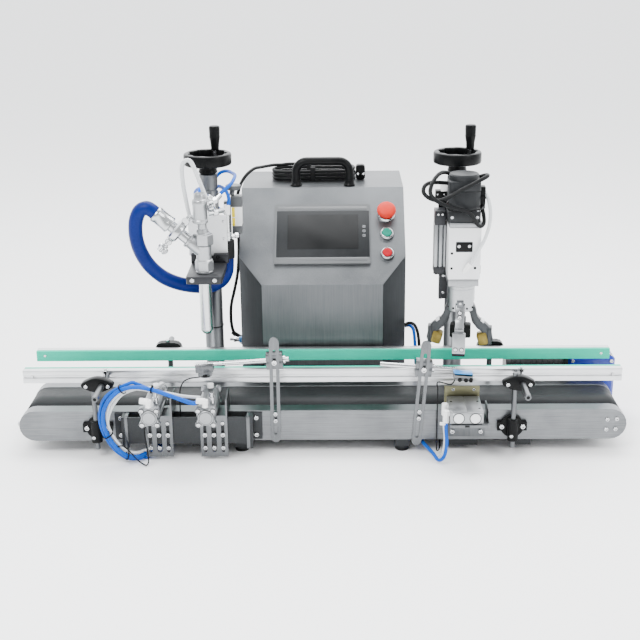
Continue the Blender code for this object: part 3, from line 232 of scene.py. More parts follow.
def finish(name):
    """The named procedural material, made the first time that it is asked for."""
    if name in MADE:
        return MADE[name]
    look = FINISHES[name]
    made = MADE[name] = bpy.data.materials.new(f"{name}_finish")
    made.use_nodes = True
    nodes, link = made.node_tree.nodes, made.node_tree.links.new
    shader = nodes["Principled BSDF"]
    shader.inputs["Metallic"].default_value = look.metallic
    shader.inputs["Coat Weight"].default_value = look.coat
    shader.inputs["Specular IOR Level"].default_value = look.specular
    place = nodes.new("ShaderNodeTexCoord")
    mapping = nodes.new("ShaderNodeMapping")
    mapping.inputs["Scale"].default_value = look.stretch
    link(place.outputs["Object"], mapping.inputs["Vector"])
    noises = []
    grains = (mapping, look.grain, FINE_DETAIL), (place, BROAD_GRAIN, BROAD_DETAIL)
    for source, scale, detail in grains:
        noise = nodes.new("ShaderNodeTexNoise")
        noise.inputs["Scale"].default_value = scale
        noise.inputs["Detail"].default_value = detail
        link(source.outputs["Vector" if source == mapping else "Object"], noise.inputs["Vector"])
        noises.append(noise.outputs["Fac"])
    both = nodes.new("ShaderNodeMath")
    both.operation = "ADD"
    link(noises[0], both.inputs[0])
    link(noises[1], both.inputs[1])
    tint = nodes.new("ShaderNodeMix")
    tint.data_type = "RGBA"
    tint.inputs["A"].default_value = (*[c * (1 - look.share) for c in look.colour], 1)
    light = [min(1, c * (1 + look.share) + LEAST_LIFT) for c in look.colour]
    tint.inputs["B"].default_value = (*light, 1)
    spread(nodes, both.outputs["Value"], tint.inputs["Factor"], GRAIN_SPAN)
    link(tint.outputs["Result"], shader.inputs["Base Color"])
    gloss = [min(1.0, look.roughness * share) for share in GLOSS_SPAN]
    spread(nodes, both.outputs["Value"], shader.inputs["Roughness"], GRAIN_SPAN, gloss)
    if look.bump:
        relief = nodes.new("ShaderNodeBump")
        relief.inputs["Strength"].default_value = look.bump
        relief.inputs["Distance"].default_value = BUMP_DEPTH
        link(noises[0], relief.inputs["Height"])
        link(relief.outputs["Normal"], shader.inputs["Normal"])
    return made


# ---------------------------------------------------------------- modelling helpers
def smooth(points, steps=6):
    """Points on a Catmull-Rom curve through the given points."""
    points = [Vector(p) for p in points]
    ends = [2 * points[0] - points[1], *points, 2 * points[-1] - points[-2]]
    made = []
    for a, b, c, d in zip(ends, ends[1:], ends[2:], ends[3:]):
        for step in range(steps):
            t = step / steps
            square, cube = 2 * a - 5 * b + 4 * c - d, 3 * b - a - 3 * c + d
            made.append(0.5 * (2 * b + (c - a) * t + square * t * t + cube * t**3))
    return [*made, points[-1]]


def arc(middle, radius, start, end, steps=8):
    """Points of a circular arc, with its angles in degrees."""
    turns = [math.radians(start + (end - start) * i / steps) for i in range(steps + 1)]
    return [(middle[0] + radius * math.cos(t), middle[1] + radius * math.sin(t)) for t in turns]


def rounded(low, high, radius, steps=4):
    """Outline of a rectangle with round corners, between two opposite corners."""
    (x0, y0), (x1, y1), r = low, high, radius
    return (
        arc((x1 - r, y1 - r), r, 0, 90, steps)
        + arc((x0 + r, y1 - r), r, 90, 180, steps)
        + arc((x0 + r, y0 + r), r, 180, 270, steps)
        + arc((x1 - r, y0 + r), r, 270, 360, steps)
    )


def four_sided(middle, corner):
    """Outline that repeats the (outward, across) points of one side on all four sides."""
    outline = []
    for quarter in range(4):
        turn = math.radians(90 * quarter)
        cos, sin = math.cos(turn), math.sin(turn)
        outline += [
            (middle[0] + a * cos - b * sin, middle[1] + a * sin + b * cos) for a, b in corner
        ]
    return outline


CREASE, SOFT_CREASE = 32, 60
WELD_REACH = 0.00002
PLANES = {
    "XY": lambda a, b, c: (a * MM, b * MM, c * MM),
    "XZ": lambda a, b, c: (a * MM, c * MM, b * MM),
    "YZ": lambda a, b, c: (c * MM, a * MM, b * MM),
}


class Solid:
    """Gathers simple solids, in layout millimetres, into the mesh of one piece."""

    def __init__(self, place=None):
        self.bm = bmesh.new()
        self.place = place.copy() if place else Matrix()
        self.place.translation *= MM

    def take(self, bm, matrix=None):
        """Add a mesh in metres, moved by the matrix."""
        bmesh.ops.recalc_face_normals(bm, faces=bm.faces)
        mesh = bpy.data.meshes.new("solid")
        bm.to_mesh(mesh)
        bm.free()
        mesh.transform(self.place @ (matrix or Matrix()))
        self.bm.from_mesh(mesh)
        bpy.data.meshes.remove(mesh)
        return self

    def block(self, low, high, bevel=0.6, turn=None):
        """A bevelled box between two opposite corners, turned about its middle."""
        low, high = Vector(low) * MM, Vector(high) * MM
        bm = bmesh.new()
        bmesh.ops.create_cube(bm, size=1.0)
        bmesh.ops.scale(bm, vec=high - low, verts=bm.verts)
        if bevel:
            bmesh.ops.bevel(
                bm, geom=bm.edges[:], offset=bevel * MM, segments=2, profile=0.5, affect="EDGES"
            )
        return self.take(bm, Matrix.Translation((low + high) / 2) @ (turn or Matrix()))

    def blocks(self, bevel, *corners):
        """Boxes with one bevel, each from its (low, high) corners."""
        for low, high in corners:
            self.block(low, high, bevel)
        return self

    def lathe(self, profile, start, axis=Z, steps=40):
        """A turned solid from (radius, distance along the axis) points, closed on its axis."""
        bm = bmesh.new()
        verts = [bm.verts.new((r * MM, 0, h * MM)) for r, h in profile]
        edges = [bm.edges.new(pair) for pair in zip(verts, verts[1:])]
        if profile[0][0] > 0 and profile[-1][0] > 0:
            edges.append(bm.edges.new((verts[-1], verts[0])))
        bmesh.ops.spin(
            bm, geom=verts + edges, axis=(0, 0, 1), cent=(0, 0, 0), steps=steps, angle=math.tau
        )
        bmesh.ops.remove_doubles(bm, verts=bm.verts, dist=1e-6)
        turn = Vector(axis).normalized().to_track_quat("Z", "X").to_matrix().to_4x4()
        return self.take(bm, Matrix.Translation(Vector(start) * MM) @ turn)

    def rod(self, radius, start, end, steps=32, edge=0.4, end_radius=None):
        """A round bar with softened ends; end_radius makes it taper."""
        along = Vector(end) - Vector(start)
        length, last = along.length, radius if end_radius is None else end_radius
        profile = (0, 0), (radius - edge, 0), (radius, edge)
        profile += (last, length - edge), (last - edge, length), (0, length)
        return self.lathe(profile, start, along, steps)

    def ring(self, outer, inner, start, end, steps=40, edge=0.4):
        """A tube with open ends."""
        along = Vector(end) - Vector(start)
        length = along.length
        profile = (inner, 0), (outer - edge, 0), (outer, edge)
        profile += (outer, length - edge), (outer - edge, length), (inner, length)
        return self.lathe(profile, start, along, steps)

    def prism(self, outline, low, high, plane="XZ", bevel=0.5):
        """An extruded outline; the plane's name gives the outline's two axes."""
        bm = bmesh.new()
        to = PLANES[plane]
        base = bm.faces.new([bm.verts.new(to(a, b, low)) for a, b in outline])
        grown = bmesh.ops.extrude_face_region(bm, geom=[base])
        verts = [v for v in grown["geom"] if isinstance(v, bmesh.types.BMVert)]
        bmesh.ops.translate(bm, verts=verts, vec=Vector(to(0, 0, high - low)))
        bmesh.ops.recalc_face_normals(bm, faces=bm.faces)
        if bevel:
            rims = [
                e
                for e in bm.edges
                if any(len(f.verts) > 4 or f == base for f in e.link_faces)
                or e.calc_face_angle(0) > math.radians(50)
            ]
            bmesh.ops.bevel(
                bm, geom=rims, offset=bevel * MM, segments=2, profile=0.5, affect="EDGES",
                clamp_overlap=True,
            )
        return self.take(bm)

    def hoop(self, loops):
        """A solid that closes on itself both along and across its loops of points in metres."""
        bm = bmesh.new()
        loops = [[bm.verts.new(point) for point in loop] for loop in loops]
        for one, other in zip(loops, loops[1:] + loops[:1]):
            for k in range(len(one)):
                n = (k + 1) % len(one)
                bm.faces.new((one[k], one[n], other[n], other[k]))
        return self.take(bm)

    def band(self, outer, inner, low, high, plane="XY"):
        """A hoop between two outlines that have as many points each."""
        rings = (low, outer), (high, outer), (high, inner), (low, inner)
        return self.hoop([[PLANES[plane](*ab, height) for ab in ring] for height, ring in rings])

    def tube(self, points, radius, sides=10):
        """A round tube through the points, closed at both ends."""
        bm = bmesh.new()
        points = [Vector(p) * MM for p in points]
        turns = [math.tau * k / sides for k in range(sides)]
        side = None
        rings = []
        for i, point in enumerate(points):
            along = (points[min(i + 1, len(points) - 1)] - points[max(i - 1, 0)]).normalized()
            if side is None:
                side = along.orthogonal().normalized()
            side = (side - along * side.dot(along)).normalized()
            other = along.cross(side)
            circle = [radius * MM * (math.cos(t) * side + math.sin(t) * other) for t in turns]
            rings.append([bm.verts.new(point + out) for out in circle])
        for a, b in zip(rings, rings[1:]):
            for k in range(sides):
                bm.faces.new((a[k], a[(k + 1) % sides], b[(k + 1) % sides], b[k]))
        bm.faces.new(rings[0][::-1])
        bm.faces.new(rings[-1])
        return self.take(bm)

    def screw(self, place, axis, radius=3.5, height=2.5):
        """A socket head screw: its head, with the key's recess."""
        profile = (0, height * 0.35), (radius * 0.52, height * 0.35), (radius * 0.56, height)
        profile += (radius * 0.88, height), (radius, height * 0.85), (radius, -0.6), (0, -0.6)
        return self.lathe(profile, place, axis, 24)

    def screws(self, places, axis, radius=3.5, height=2.5):
        """Screws of one size in the same direction."""
        for place in places:
            self.screw(place, axis, radius, height)
        return self

    # The front jaw is drawn in light aluminium as the lit copy; the other three are the same finger
    # in painted shade.
    def piece(self, name, material, body="machine", replaces=(), angle=CREASE):
        """Turn what was gathered into a shown piece that rides on the body."""
        bmesh.ops.translate(self.bm, vec=ORIGIN, verts=self.bm.verts)
        mesh = bpy.data.meshes.new(name)
        self.bm.to_mesh(mesh)
        self.bm.free()
        mesh.shade_smooth()
        mesh.set_sharp_from_angle(angle=math.radians(angle))
        obj = show(name, mesh)
        mesh.materials.append(finish(material))
        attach(obj, body)
        if replaces:
            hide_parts(replaces)
        return obj


def hose(name, points, radius, material, body="machine", sides=12, steps=6, replaces=()):
    """A held hose or cable through its points."""
    tube = Solid().tube(smooth(points, steps), radius, sides)
    return tube.piece(name, material, body, replaces, SOFT_CREASE)


def dress(node, material, bevel=0.6):
    """Give a CAD node its finish, rounded edges and smooth round faces."""
    obj = NODES[node]
    mesh = obj.data
    for layer in ("custom_normal", "sharp_face", "sharp_edge"):
        if layer in mesh.attributes:
            mesh.attributes.remove(mesh.attributes[layer])
    mesh.shade_smooth()
    mesh.materials.clear()
    mesh.materials.append(finish(material))
    weld = obj.modifiers.new("weld", "WELD")
    weld.merge_threshold = WELD_REACH
    if bevel:
        edges = obj.modifiers.new("edges", "BEVEL")
        edges.width = bevel * MM
        edges.segments = 2
        edges.limit_method = "ANGLE"
        edges.angle_limit = math.radians(CREASE)
        edges.harden_normals = True
        edges.miter_outer = "MITER_ARC"


def layout_box(node):
    """The node's lowest and highest corners in layout millimetres."""
    low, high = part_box(node)
    return (low - ORIGIN) / MM, (high - ORIGIN) / MM


# ---------------------------------------------------------------- mains lead
CORD_DIAMETER = 7.2
GLAND = Vector((-186.8, 330, 69))
GLAND_LINE = Vector((0.77, 0.0, -0.64)).normalized()
LEAD_ROUTE = (
    (-201, 330.5, 89), (-203.5, 331.5, 115), (-201.5, 333, 145), (-193, 335, 180), (-185, 337, 220),
    (-181.5, 340, 275), (-182.5, 345, 320), (-183.5, 352, 365), (-179, 362, 397), (-166, 376, 421),
    (-148, 400, 433), (-133, 429, 431),
)
HANK_TURNS = 4


def hank_route():
    """The lead's wound length on the cabinet: stadium turns that sink by a diameter each."""
    (left, front, _), (right, back, high) = layout_box("power_cord_coil")
    radius = (back - front) / 2 - CORD_DIAMETER / 2 - 0.2
    middle = (front + back) / 2
    first, last = left + (back - front) / 2, right - (back - front) / 2
    top = high - CORD_DIAMETER / 2 - 1.2
    drop = CORD_DIAMETER + 0.2
    shares = (0.0, 0.25, 0.5, 0.75, 1.0)
    lap = [(first + share * (last - first), middle + radius) for share in shares]
    lap += arc((last, middle), radius, 90, -90, 8)[1:]
    lap += [(last - share * (last - first), middle - radius) for share in shares[1:]]
    lap += arc((first, middle), radius, 270, 90, 8)[1:-1]
    around = [
        (*lap[i % len(lap)], top - drop * i / len(lap)) for i in range(HANK_TURNS * len(lap) + 4)
    ]
    low_z = around[-1][2]
    plug_z = layout_box("power_plug")[0].z + 16
    plug_back = layout_box("power_plug")[1].y
    out = arc((last + 17.5, middle + radius - 30), 30, 90, 12, 6)
    rise = [
        (x, y, low_z + (plug_z - low_z) * (i + 1) / (len(out) + 1)) for i, (x, y) in enumerate(out)
    ]
    tail = [*rise, (last + 47.5, plug_back - 0.5, plug_z)]
    return around, tail


def mains_lead():
    """The lead from its gland to the plug, with the plug, its pins, the relief and the ties."""
    start = GLAND - 0.8 * GLAND_LINE
    turns, tail = hank_route()
    joined = ((-107.5, 464, 428.5), (-92, 477, 426.2))
    route = [start, start - 9 * GLAND_LINE, *LEAD_ROUTE, *joined, *turns, *tail]
    points = [p * MM + ORIGIN for p in smooth(route, 3)]
    curve = bpy.data.curves.new("mains_lead", "CURVE")
    curve.dimensions = "3D"
    curve.bevel_depth = CORD_DIAMETER * MM / 2
    curve.bevel_resolution = 3
    curve.use_fill_caps = True
    spline = curve.splines.new("POLY")
    spline.points.add(len(points) - 1)
    for knot, point in zip(spline.points, points):
        knot.co = (*point, 1)
        knot.radius = 1
    spline.use_smooth = True
    curve.materials.append(finish("cord_rubber"))
    lead = show("mains_lead", curve)
    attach(lead, "machine")
    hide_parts("power_cord_lead", "power_cord_coil")

    low, high = layout_box("power_plug")
    middle = Vector(((low.x + high.x) / 2, 0, low.z + 16))
    front, back = low.y + 17, high.y
    outline = rounded((low.x, middle.z - 16), (high.x, middle.z + 16), 6)
    shell = Solid().prism(outline, front, back - 8, "XZ", 1.5)
    shell.lathe([(0, 0), (5, 0), (7.8, 4), (9.8, 10), (0, 10)], (middle.x, back, middle.z), -Y)
    plug = shell.piece("mains_plug", "black_plastic", "machine", "power_plug")
    pins = Solid()
    for offset in (-6, 6):
        pins.rod(
            2.4, (middle.x + offset, front + 1, middle.z), (middle.x + offset, low.y, middle.z), 20,
        )
    pins = pins.piece("mains_plug_pins", "polished")
    relief = Solid().lathe(
        [(3.7, 0), (4.6, 0), (6.2, 18), (6.2, 20), (3.7, 20)], GLAND - 19 * GLAND_LINE, GLAND_LINE,
    )
    relief.piece("mains_relief", "rubber")
    ties = Solid()
    (_, front, low_z), (_, back, high_z) = layout_box("power_cord_coil")
    for x, y in ((-20, front + CORD_DIAMETER / 2), (-30, back - CORD_DIAMETER / 2)):
        band = rounded((y - 4.6, low_z + 0.6), (y + 4.6, high_z + 1.2), 3, 5)
        hole = rounded((y - 3.8, low_z + 1.4), (y + 3.8, high_z + 0.4), 2.4, 5)
        ties.band(band, hole, x - 5, x + 5, "YZ")
    ties = ties.piece("mains_lead_ties", "rubber")


# ---------------------------------------------------------------- conveyor and base
def conveyor():
    """Side plates, belt, rollers and base, with the foot pads and the plates' screws."""
    for side in ("front", "rear"):
        dress(f"{side}_side_plate", "steel_plate", 0.9)
    dress("conveyor_belt", "belt", 0)
    dress("belt_bed", "dark_coat")
    dress("drive_roller", "turned_aluminium")
    dress("idler_roller", "turned_aluminium")
    dress("base_frame", "dark_coat", 1.2)

    feet = Solid()
    for x in (-160, 160):
        for y in (22, 490):
            profile = [(0, 0), (13.5, 0), (14, 3), (10.5, 7.5), (0, 7.5)]
            feet.lathe(profile, (x, y, FLOOR))
    feet.piece("feet_pads", "rubber")

    screws = Solid()
    end = layout_box("front_side_plate")[1].x - plate_height() / 2
    screws.screws(
        [(end + x, 0, z) for x, z in ((-7, 10.5), (11.5, 11.5), (-8, -10.5), (10, -10))], -Y, 4, 3,
    )
    for x in (-460, -140, 200, 440):
        screws.screw((x, 160, -12), Y, 4, 3)
        screws.screw((x, 160, 12), Y, 4, 3)
    left = layout_box("front_side_plate")[0].x
    screws.rod(4.2, (left - 5.8, 16, -1), (left + 4, 16, -1), 6)
    screws.rod(6.2, (left - 2.2, 16, -1), (left + 3, 16, -1), 24)
    screws.piece("conveyor_screws", "screw_steel")


def plate_height():
    """Height of the conveyor's side plates."""
    low, high = layout_box("front_side_plate")
    return high.z - low.z


def drive():
    """Gearbox with its ribs and screws, and the finned motor behind the belt."""
    dress("drive_gearbox", "blue_enamel", 1.5)
    dress("drive_motor", "motor_paint", 1)
    ribs = Solid()
    centre, axis = 207, 40
    for k in range(9):
        x = 404 + 11.5 * k
        ribs.ring(36.2, 33, (x, centre, axis), (x + 3, centre, axis), 48)
    ribs.piece("motor_fins", "motor_paint")
    plate = Solid()
    back = layout_box("drive_gearbox")[1].y
    for k in range(6):
        z = -30 + 18 * k
        plate.block((520, back - 5.2, z), (606, back - 3.4, z + 4), 0.8)
    plate.piece("gearbox_ribs", "blue_enamel")
    screws = Solid()
    for x in (523, 603):
        for z in (-36, 68):
            screws.screw((x, 171.2, z), -Y, 3.6, 3)
            screws.screw((x, 240, z), Y, 3.6, 3)
    screws.screws(
        [(x, y, 77) for x, y in ((522, 181), (604, 181), (522, 231), (604, 231))], Z, 3.6, 3,
    )
    screws.piece("gearbox_screws", "screw_steel")


# ---------------------------------------------------------------- guide rails
def rail_profile(front, back, bottom, top, grooved):
    """Section of the rail's aluminium extrusion, with shallow grooves along the shown side."""
    points = [(back, bottom), (back, top), (front, top)]
    deep = 2.2 if front < back else -2.2
    height = top - bottom
    for share_high, share_low in grooved:
        z_high, z_low = bottom + height * share_high, bottom + height * share_low
        points += [
            (front, z_high), (front + deep, z_high - 0.8), (front + deep, z_low + 0.8),
            (front, z_low),
        ]
    return [*points, (front, bottom)]


ROD_Z = 96


def guide_rails():
    """The two rails: extrusion, green strip, rods and end screws on each."""
    for name, body in (("front_guide_rail", "front_rail"), ("rear_guide_rail", "rear_rail")):
        low, high = layout_box(name)
        is_front = name.startswith("front")
        face, back = (36, 58) if is_front else (170, 148.5)
        lip = back - 8 if is_front else back + 8
        bottom, top = low.z + (0 if is_front else 4), high.z
        profile = rail_profile(face, lip, bottom, top, ((0.62, 0.4),))
        rail = Solid().prism(profile, low.x, high.x, "YZ", 0.6)
        rail.piece(f"{body}_profile", "satin_aluminium", body, name)
        strip = Solid()
        y0, y1 = sorted((lip + (0.2 if is_front else -0.2), back))
        foot = bottom + 1.5 if is_front else bottom
        strip.block((low.x, y0, foot), (high.x, y1, top - 0.2), 1)
        strip.piece(f"{body}_strip", "green_strip", body)
        rods = Solid()
        places = (-424.5, 388) if is_front else (-324, 352)
        end = -95 if is_front else 245
        for x in places:
            rods.rod(6, (x, (face + lip) / 2, ROD_Z), (x, end, ROD_Z), 32, 0.8)
        rods.piece(f"{body}_rods", "dark_steel" if is_front else "steel_part", body)
        if is_front:
            bores = Solid()
            for x in places:
                bores.rod(3.6, (x, end + 4, ROD_Z), (x, end - 0.2, ROD_Z), 28)
            bores.piece("front_rail_rod_bores", "black_plastic", body)
        marks = Solid()
        for x in (low.x + 18, high.x - 18):
            y = face if is_front else back
            marks.screw((x, y, (bottom + top) / 2 + 1), -Y, 2.8, 0.6)
        marks.piece(f"{body}_end_screws", "screw_steel", body)
    tag = Solid().block((235, 34.5, 71.2), (293, 37.5, 79), 0.6)
    tag.piece("front_rail_tag", "white_plastic", "front_rail")


def rail_supports():
    """Posts, hubs and clamp heads with their screws."""
    for side, post_x, rod_x in (("left", -442, -424.5), ("right", 374, 388)):
        dress(f"front_post_hub_{side}", "black_plastic", 1.2)
        top = 98 if side == "left" else 117
        post = Solid().rod(5, (post_x, -19, -40), (post_x, -19, top), 32, 0.6)
        post.piece(
            f"front_post_{side}", "dark_steel", "front_rail_posts", f"front_rail_post_{side}",
        )
        middle = (post_x + rod_x) / 2
        outline = []
        for i in range(40):
            t = math.tau * i / 40
            bulge = 1 + 0.06 * math.cos(4 * t)
            outline.append((middle + 30 * math.cos(t) * bulge, 97 + 14.2 * math.sin(t) * bulge))
        head = Solid().prism(outline, -27.8, -10.2, "XZ", 2.5)
        head.piece(f"front_clamp_{side}", "black_plastic", "front_rail_posts")
        screws = Solid()
        screws.screws([(x, -27.8, 95.5) for x in (middle - 21.5, middle + 21.5)], -Y, 3.6, 2)
        nut_x = rod_x + 2
        screws.rod(5.8, (nut_x, 10, 109), (nut_x, 10, 115), 6)
        screws.rod(3, (nut_x, 10, 100), (nut_x, 10, 117.5), 20)
        screws.piece(f"front_clamp_screws_{side}", "screw_steel", "front_rail_posts")
        bolts = Solid()
        bolts.screws([(post_x + dx, -9.3, 0) for dx in (-20.5, 20.5)], -Y, 4.8, 3)
        bolts.screw((post_x - 4, -29.5, -12), -Y, 3.4, 1.5)
        bolts.piece(f"front_hub_screws_{side}", "screw_steel")
    for side, post_x, rod_x in (("left", -320, -324), ("right", 350, 352)):
        dress(f"rear_rail_support_{side}", "black_plastic", 1.2)
        post = Solid().rod(5.4, (post_x, 183, 21), (post_x, 183, 83), 32)
        post.piece(f"rear_post_{side}", "dark_steel")
        screws = Solid()
        middle = (post_x + rod_x) / 2
        for dx in (-20, 20):
            screws.screw((middle + dx, 192, 97), Y, 3.6, 2)
            screws.screw((post_x + dx, 169.3, 0), Y, 4.8, 3)
        screws.rod(4.6, (rod_x, 183, 111), (rod_x, 183, 116), 6)
        screws.piece(f"rear_support_screws_{side}", "screw_steel")


# ---------------------------------------------------------------- sensors
def strip_screws(name, x, z, tilt, heights):
    """Screw heads on a slotted strip, at the given heights above its foot."""
    screws = Solid()
    for height, radius in heights:
        place = (x + height * math.sin(tilt), -3.3, z + height * math.cos(tilt))
        screws.screw(place, -Y, radius, 3.4)
    screws.piece(name, "screw_steel")


def sensor_set(side, foot_x, foot_z, tilt, height, lean, reach, sensor_at, size):
    """Clamp block, arm and bottle sensor that ride along one slotted strip."""
    body = f"{side}_sensor"
    foot = Matrix.Translation((foot_x, 0, foot_z)) @ Matrix.Rotation(tilt, 4, "Y")
    place = foot @ Matrix.Translation((0, 0, height)) @ Matrix.Rotation(lean, 4, "Y")
    arm_y = 11.5
    clamp = Solid(place)
    clamp.blocks(2, ((-16.5, 0.3, -16), (16.5, 21.5, -0.6)), ((-16.5, 0.3, 0.6), (16.5, 21.5, 16)))
    clamp.block((-15, 2, -1), (15, 20, 1), 0)
    clamp.piece(f"sensor_clamp_{side}", "steel_part", body, f"sensor_arm_{side}")
    bright = Solid(place)
    bright.rod(4.7, (reach[0], arm_y, 0), (reach[1], arm_y, 0), 32, 0.6)
    bright.screw((0, -3.4, 0), -Y, 5.2, 4)
    bright.ring(7.8, 4.8, (16.5, arm_y, 0), (21.5, arm_y, 0))
    bright.piece(f"sensor_arm_rod_{side}", "polished", body)
    middle, half = Vector(sensor_at), Vector(size) / 2
    low, high = middle - half, middle + half
    holder = Solid(place)
    holder.block((low.x, low.y, middle.z - 2), (high.x, high.y, high.z), 1.2)
    holder.block((low.x + 4, low.y + 2, low.z + 3), (high.x - 4, high.y, middle.z), 1)
    holder.piece(f"sensor_holder_{side}", "steel_part", body)
    eye = Solid(place)
    if side == "left":
        eye.rod(10.5, (middle.x, middle.y, low.z), (middle.x, middle.y, low.z + 6.5), 32)
        eye.piece("sensor_eye_left", "black_plastic", body)
        cable = [(middle.x - 8, middle.y - 4, low.z + 3), (-150, 2, -22)]
        route = [place @ Vector(p) for p in cable]
        route += [Vector((-256, -1, 101)), Vector((-269, -3, 94))]
        route += [Vector((-276, -5, 76)), Vector((-277, -7, 45))]
        route += [Vector((-277, -8, 10)), Vector((-277, -8, -18))]
    else:
        cover = Solid(place).block((low.x, low.y, high.z - 6), (high.x, high.y, high.z + 0.4), 1.5)
        cover.piece("sensor_cover_right", "sky_plastic", body)
        for x in (middle.x - 6, middle.x + 6):
            eye.rod(4.2, (x, low.y + 1, low.z + 6), (x, low.y - 1.2, low.z + 6), 24)
        eye.block((high.x - 6, low.y - 0.4, low.z + 2), (high.x + 0.4, high.y, high.z - 7))
        eye.piece("sensor_eye_right", "black_plastic", body)
        cable = [(low.x + 4, middle.y - 6, low.z + 4), (low.x - 4, -10, low.z - 6)]
        route = [place @ Vector(p) for p in cable]
        for z in (95, 80, 60, 40, 15, -10, -30, -45):
            route.append(Vector((226.4, -11, z)))
        route += [Vector((229, -6, -53)), Vector((234, 6, -52))]
        route += [Vector((236, 26, -45)), Vector((236, 42, -28))]
    hose(f"sensor_cable_{side}", route, 1.3, "cord_rubber", body, 8)


def sensors():
    """The two slotted strips with their sensors."""
    dress("sensor_bar_left", "steel_part", 0.4)
    dress("sensor_bar_right", "steel_part", 0.4)
    tilt = math.radians(4.64)
    strip_screws("sensor_bar_screws_left", -90.5, -35, 0, ((61.5, 4.2), (47, 4.2)))
    strip_screws("sensor_bar_screws_right", 186.4, -43, tilt, ((73, 4.2), (59, 4.2)))
    sensor_set(
        "left", -90.5, -35, 0, 169, math.radians(-3.7), (-156, 28), (-137, 8, -10), (35, 23, 26),
    )
    sensor_set("right", 186.4, -43, tilt, 161, 0, (-85, 62), (76, -3, -8), (37, 22, 19))


# ---------------------------------------------------------------- bottle stops
STOP_X = (-325, -217.6)
STOP_Z = 55.6


def stop_unit(side, x):
    """Air cylinder with its cast ends, tie bolts, fittings and the bracket's bolts."""
    dress(f"stop_bracket_{side}", "steel_part", 0.5)
    dress(f"stop_rod_{side}", "polished", 0.5)
    low, high, half = -90, 30, 20.5
    body = Solid()
    groove = ((16.5, -12), (16.5, -5.5), (14.5, -4.5), (14.5, 4.5), (16.5, 5.5), (16.5, 12))
    outline = four_sided((x, STOP_Z), (*groove, (14.5, 14.5)))
    body.prism(outline, low + 8, high - 8, "XZ", 0.4)
    body.piece(f"stop_barrel_{side}", "clear_aluminium", "machine", f"stop_cylinder_{side}")
    ends = Solid()
    outline = []
    lobe, reach = 6.2, half - 6.2
    for k, (cx, cz) in enumerate(((1, 1), (-1, 1), (-1, -1), (1, -1))):
        centre = (x + cx * reach, STOP_Z + cz * reach)
        outline += arc(centre, lobe, -60 + 90 * k, 150 + 90 * k, 9)
        turn = math.radians(90 * (k + 1))
        dent = half - 4.5
        outline.append((x + dent * math.cos(turn), STOP_Z + dent * math.sin(turn)))
    for y in (low, high - 12):
        ends.prism(outline, y, y + 12, "XZ", 0.8)
    ends.lathe([(0, 0), (13.5, 0), (15, 1), (15, 4), (0, 4)], (x, low - 2.4, STOP_Z), Y)
    ends.lathe([(9.5, 0), (11.8, 0), (11.8, 1), (9.5, 1)], (x, low - 3.1, STOP_Z), Y)
    ends.piece(f"stop_ends_{side}", "clear_aluminium")
    rims = Solid()
    for cx in (-reach, reach):
        for cz in (-reach, reach):
            start = (x + cx, low, STOP_Z + cz)
            rims.ring(5.3, 4.3, start, (start[0], low - 0.5, start[2]), 24, 0.1)
    rims.ring(12.7, 11.8, (x, low - 2.4, STOP_Z), (x, low - 2.8, STOP_Z), 40, 0.1)
    rims.ring(16.2, 15.2, (x, low, STOP_Z), (x, low - 0.5, STOP_Z), 40, 0.1)
    rims.piece(f"stop_end_rims_{side}", "dark_coat")
    bolts = Solid()
    bolts.screws(
        [(x + cx, low, STOP_Z + cz) for cx in (-reach, reach) for cz in (-reach, reach)], -Y, 4,
        1.6,
    )
    face = -30.9
    for aside in (-10, 7.5, 25):
        bolts.screw((x + aside, face, -5), -Y, 4.6, 4)
        bolts.screw((x + aside, face, -33), -Y, 4.14, 3)
    bolts.screw((x + 25, face, 19), -Y, 3.6, 2.5)
    bolts.piece(f"stop_bolts_{side}", "screw_steel")
    elbows = Solid()
    top = STOP_Z + half
    elbow_y = (-84, 18)
    for y, height in zip(elbow_y, (14, 6.5)):
        elbows.ring(5.6, 3, (x - 1, y, top - 0.8), (x - 1, y, top + height - 6), 28)
        elbows.rod(6.2, (x - 1, y, top + height - 8), (x - 1, y, top + height), 28)
    start = (x - 1, elbow_y[0], top + 11)
    elbows.ring(6, 3.6, start, (x - 17, elbow_y[0] + 1, top + 12), 28)
    elbows.piece(f"stop_elbows_{side}", "white_plastic")
    regulator = Solid()
    regulator.rod(5.2, (x + 9, -60, top - 2), (x + 9, -60, top + 10), 28)
    regulator.rod(3.6, (x + 9, -60, top + 9), (x + 9, -60, top + 19), 20)
    regulator.piece(f"stop_regulator_{side}", "screw_steel")


AIR_ROUTE = (
    (-241, -76.5, 80), (-260, -76, 86), (-290, -74, 97), (-320, -71, 106), (-350, -68, 110.5),
    (-378, -65, 104), (-401, -62, 86), (-416, -60, 60), (-419, -59, 33), (-412, -58, 5),
    (-397, -56, -22), (-379, -51, -40), (-360, -43, -46), (-351, -29, -48), (-340, -13, -49.5),
    (-328, 7, -51.5), (-319, 35, -53.5), (-314, 70, -54.6), (-311, 110, -54.6), (-307, 150, -54.6),
    (-300, 190, -54.6), (-288, 228, -54), (-268, 258, -48), (-242, 278, -35), (-216, 287, -19),
    (-195, 290, -8), (-185, 290, -5), (-172.4, 290, -4.5),
)


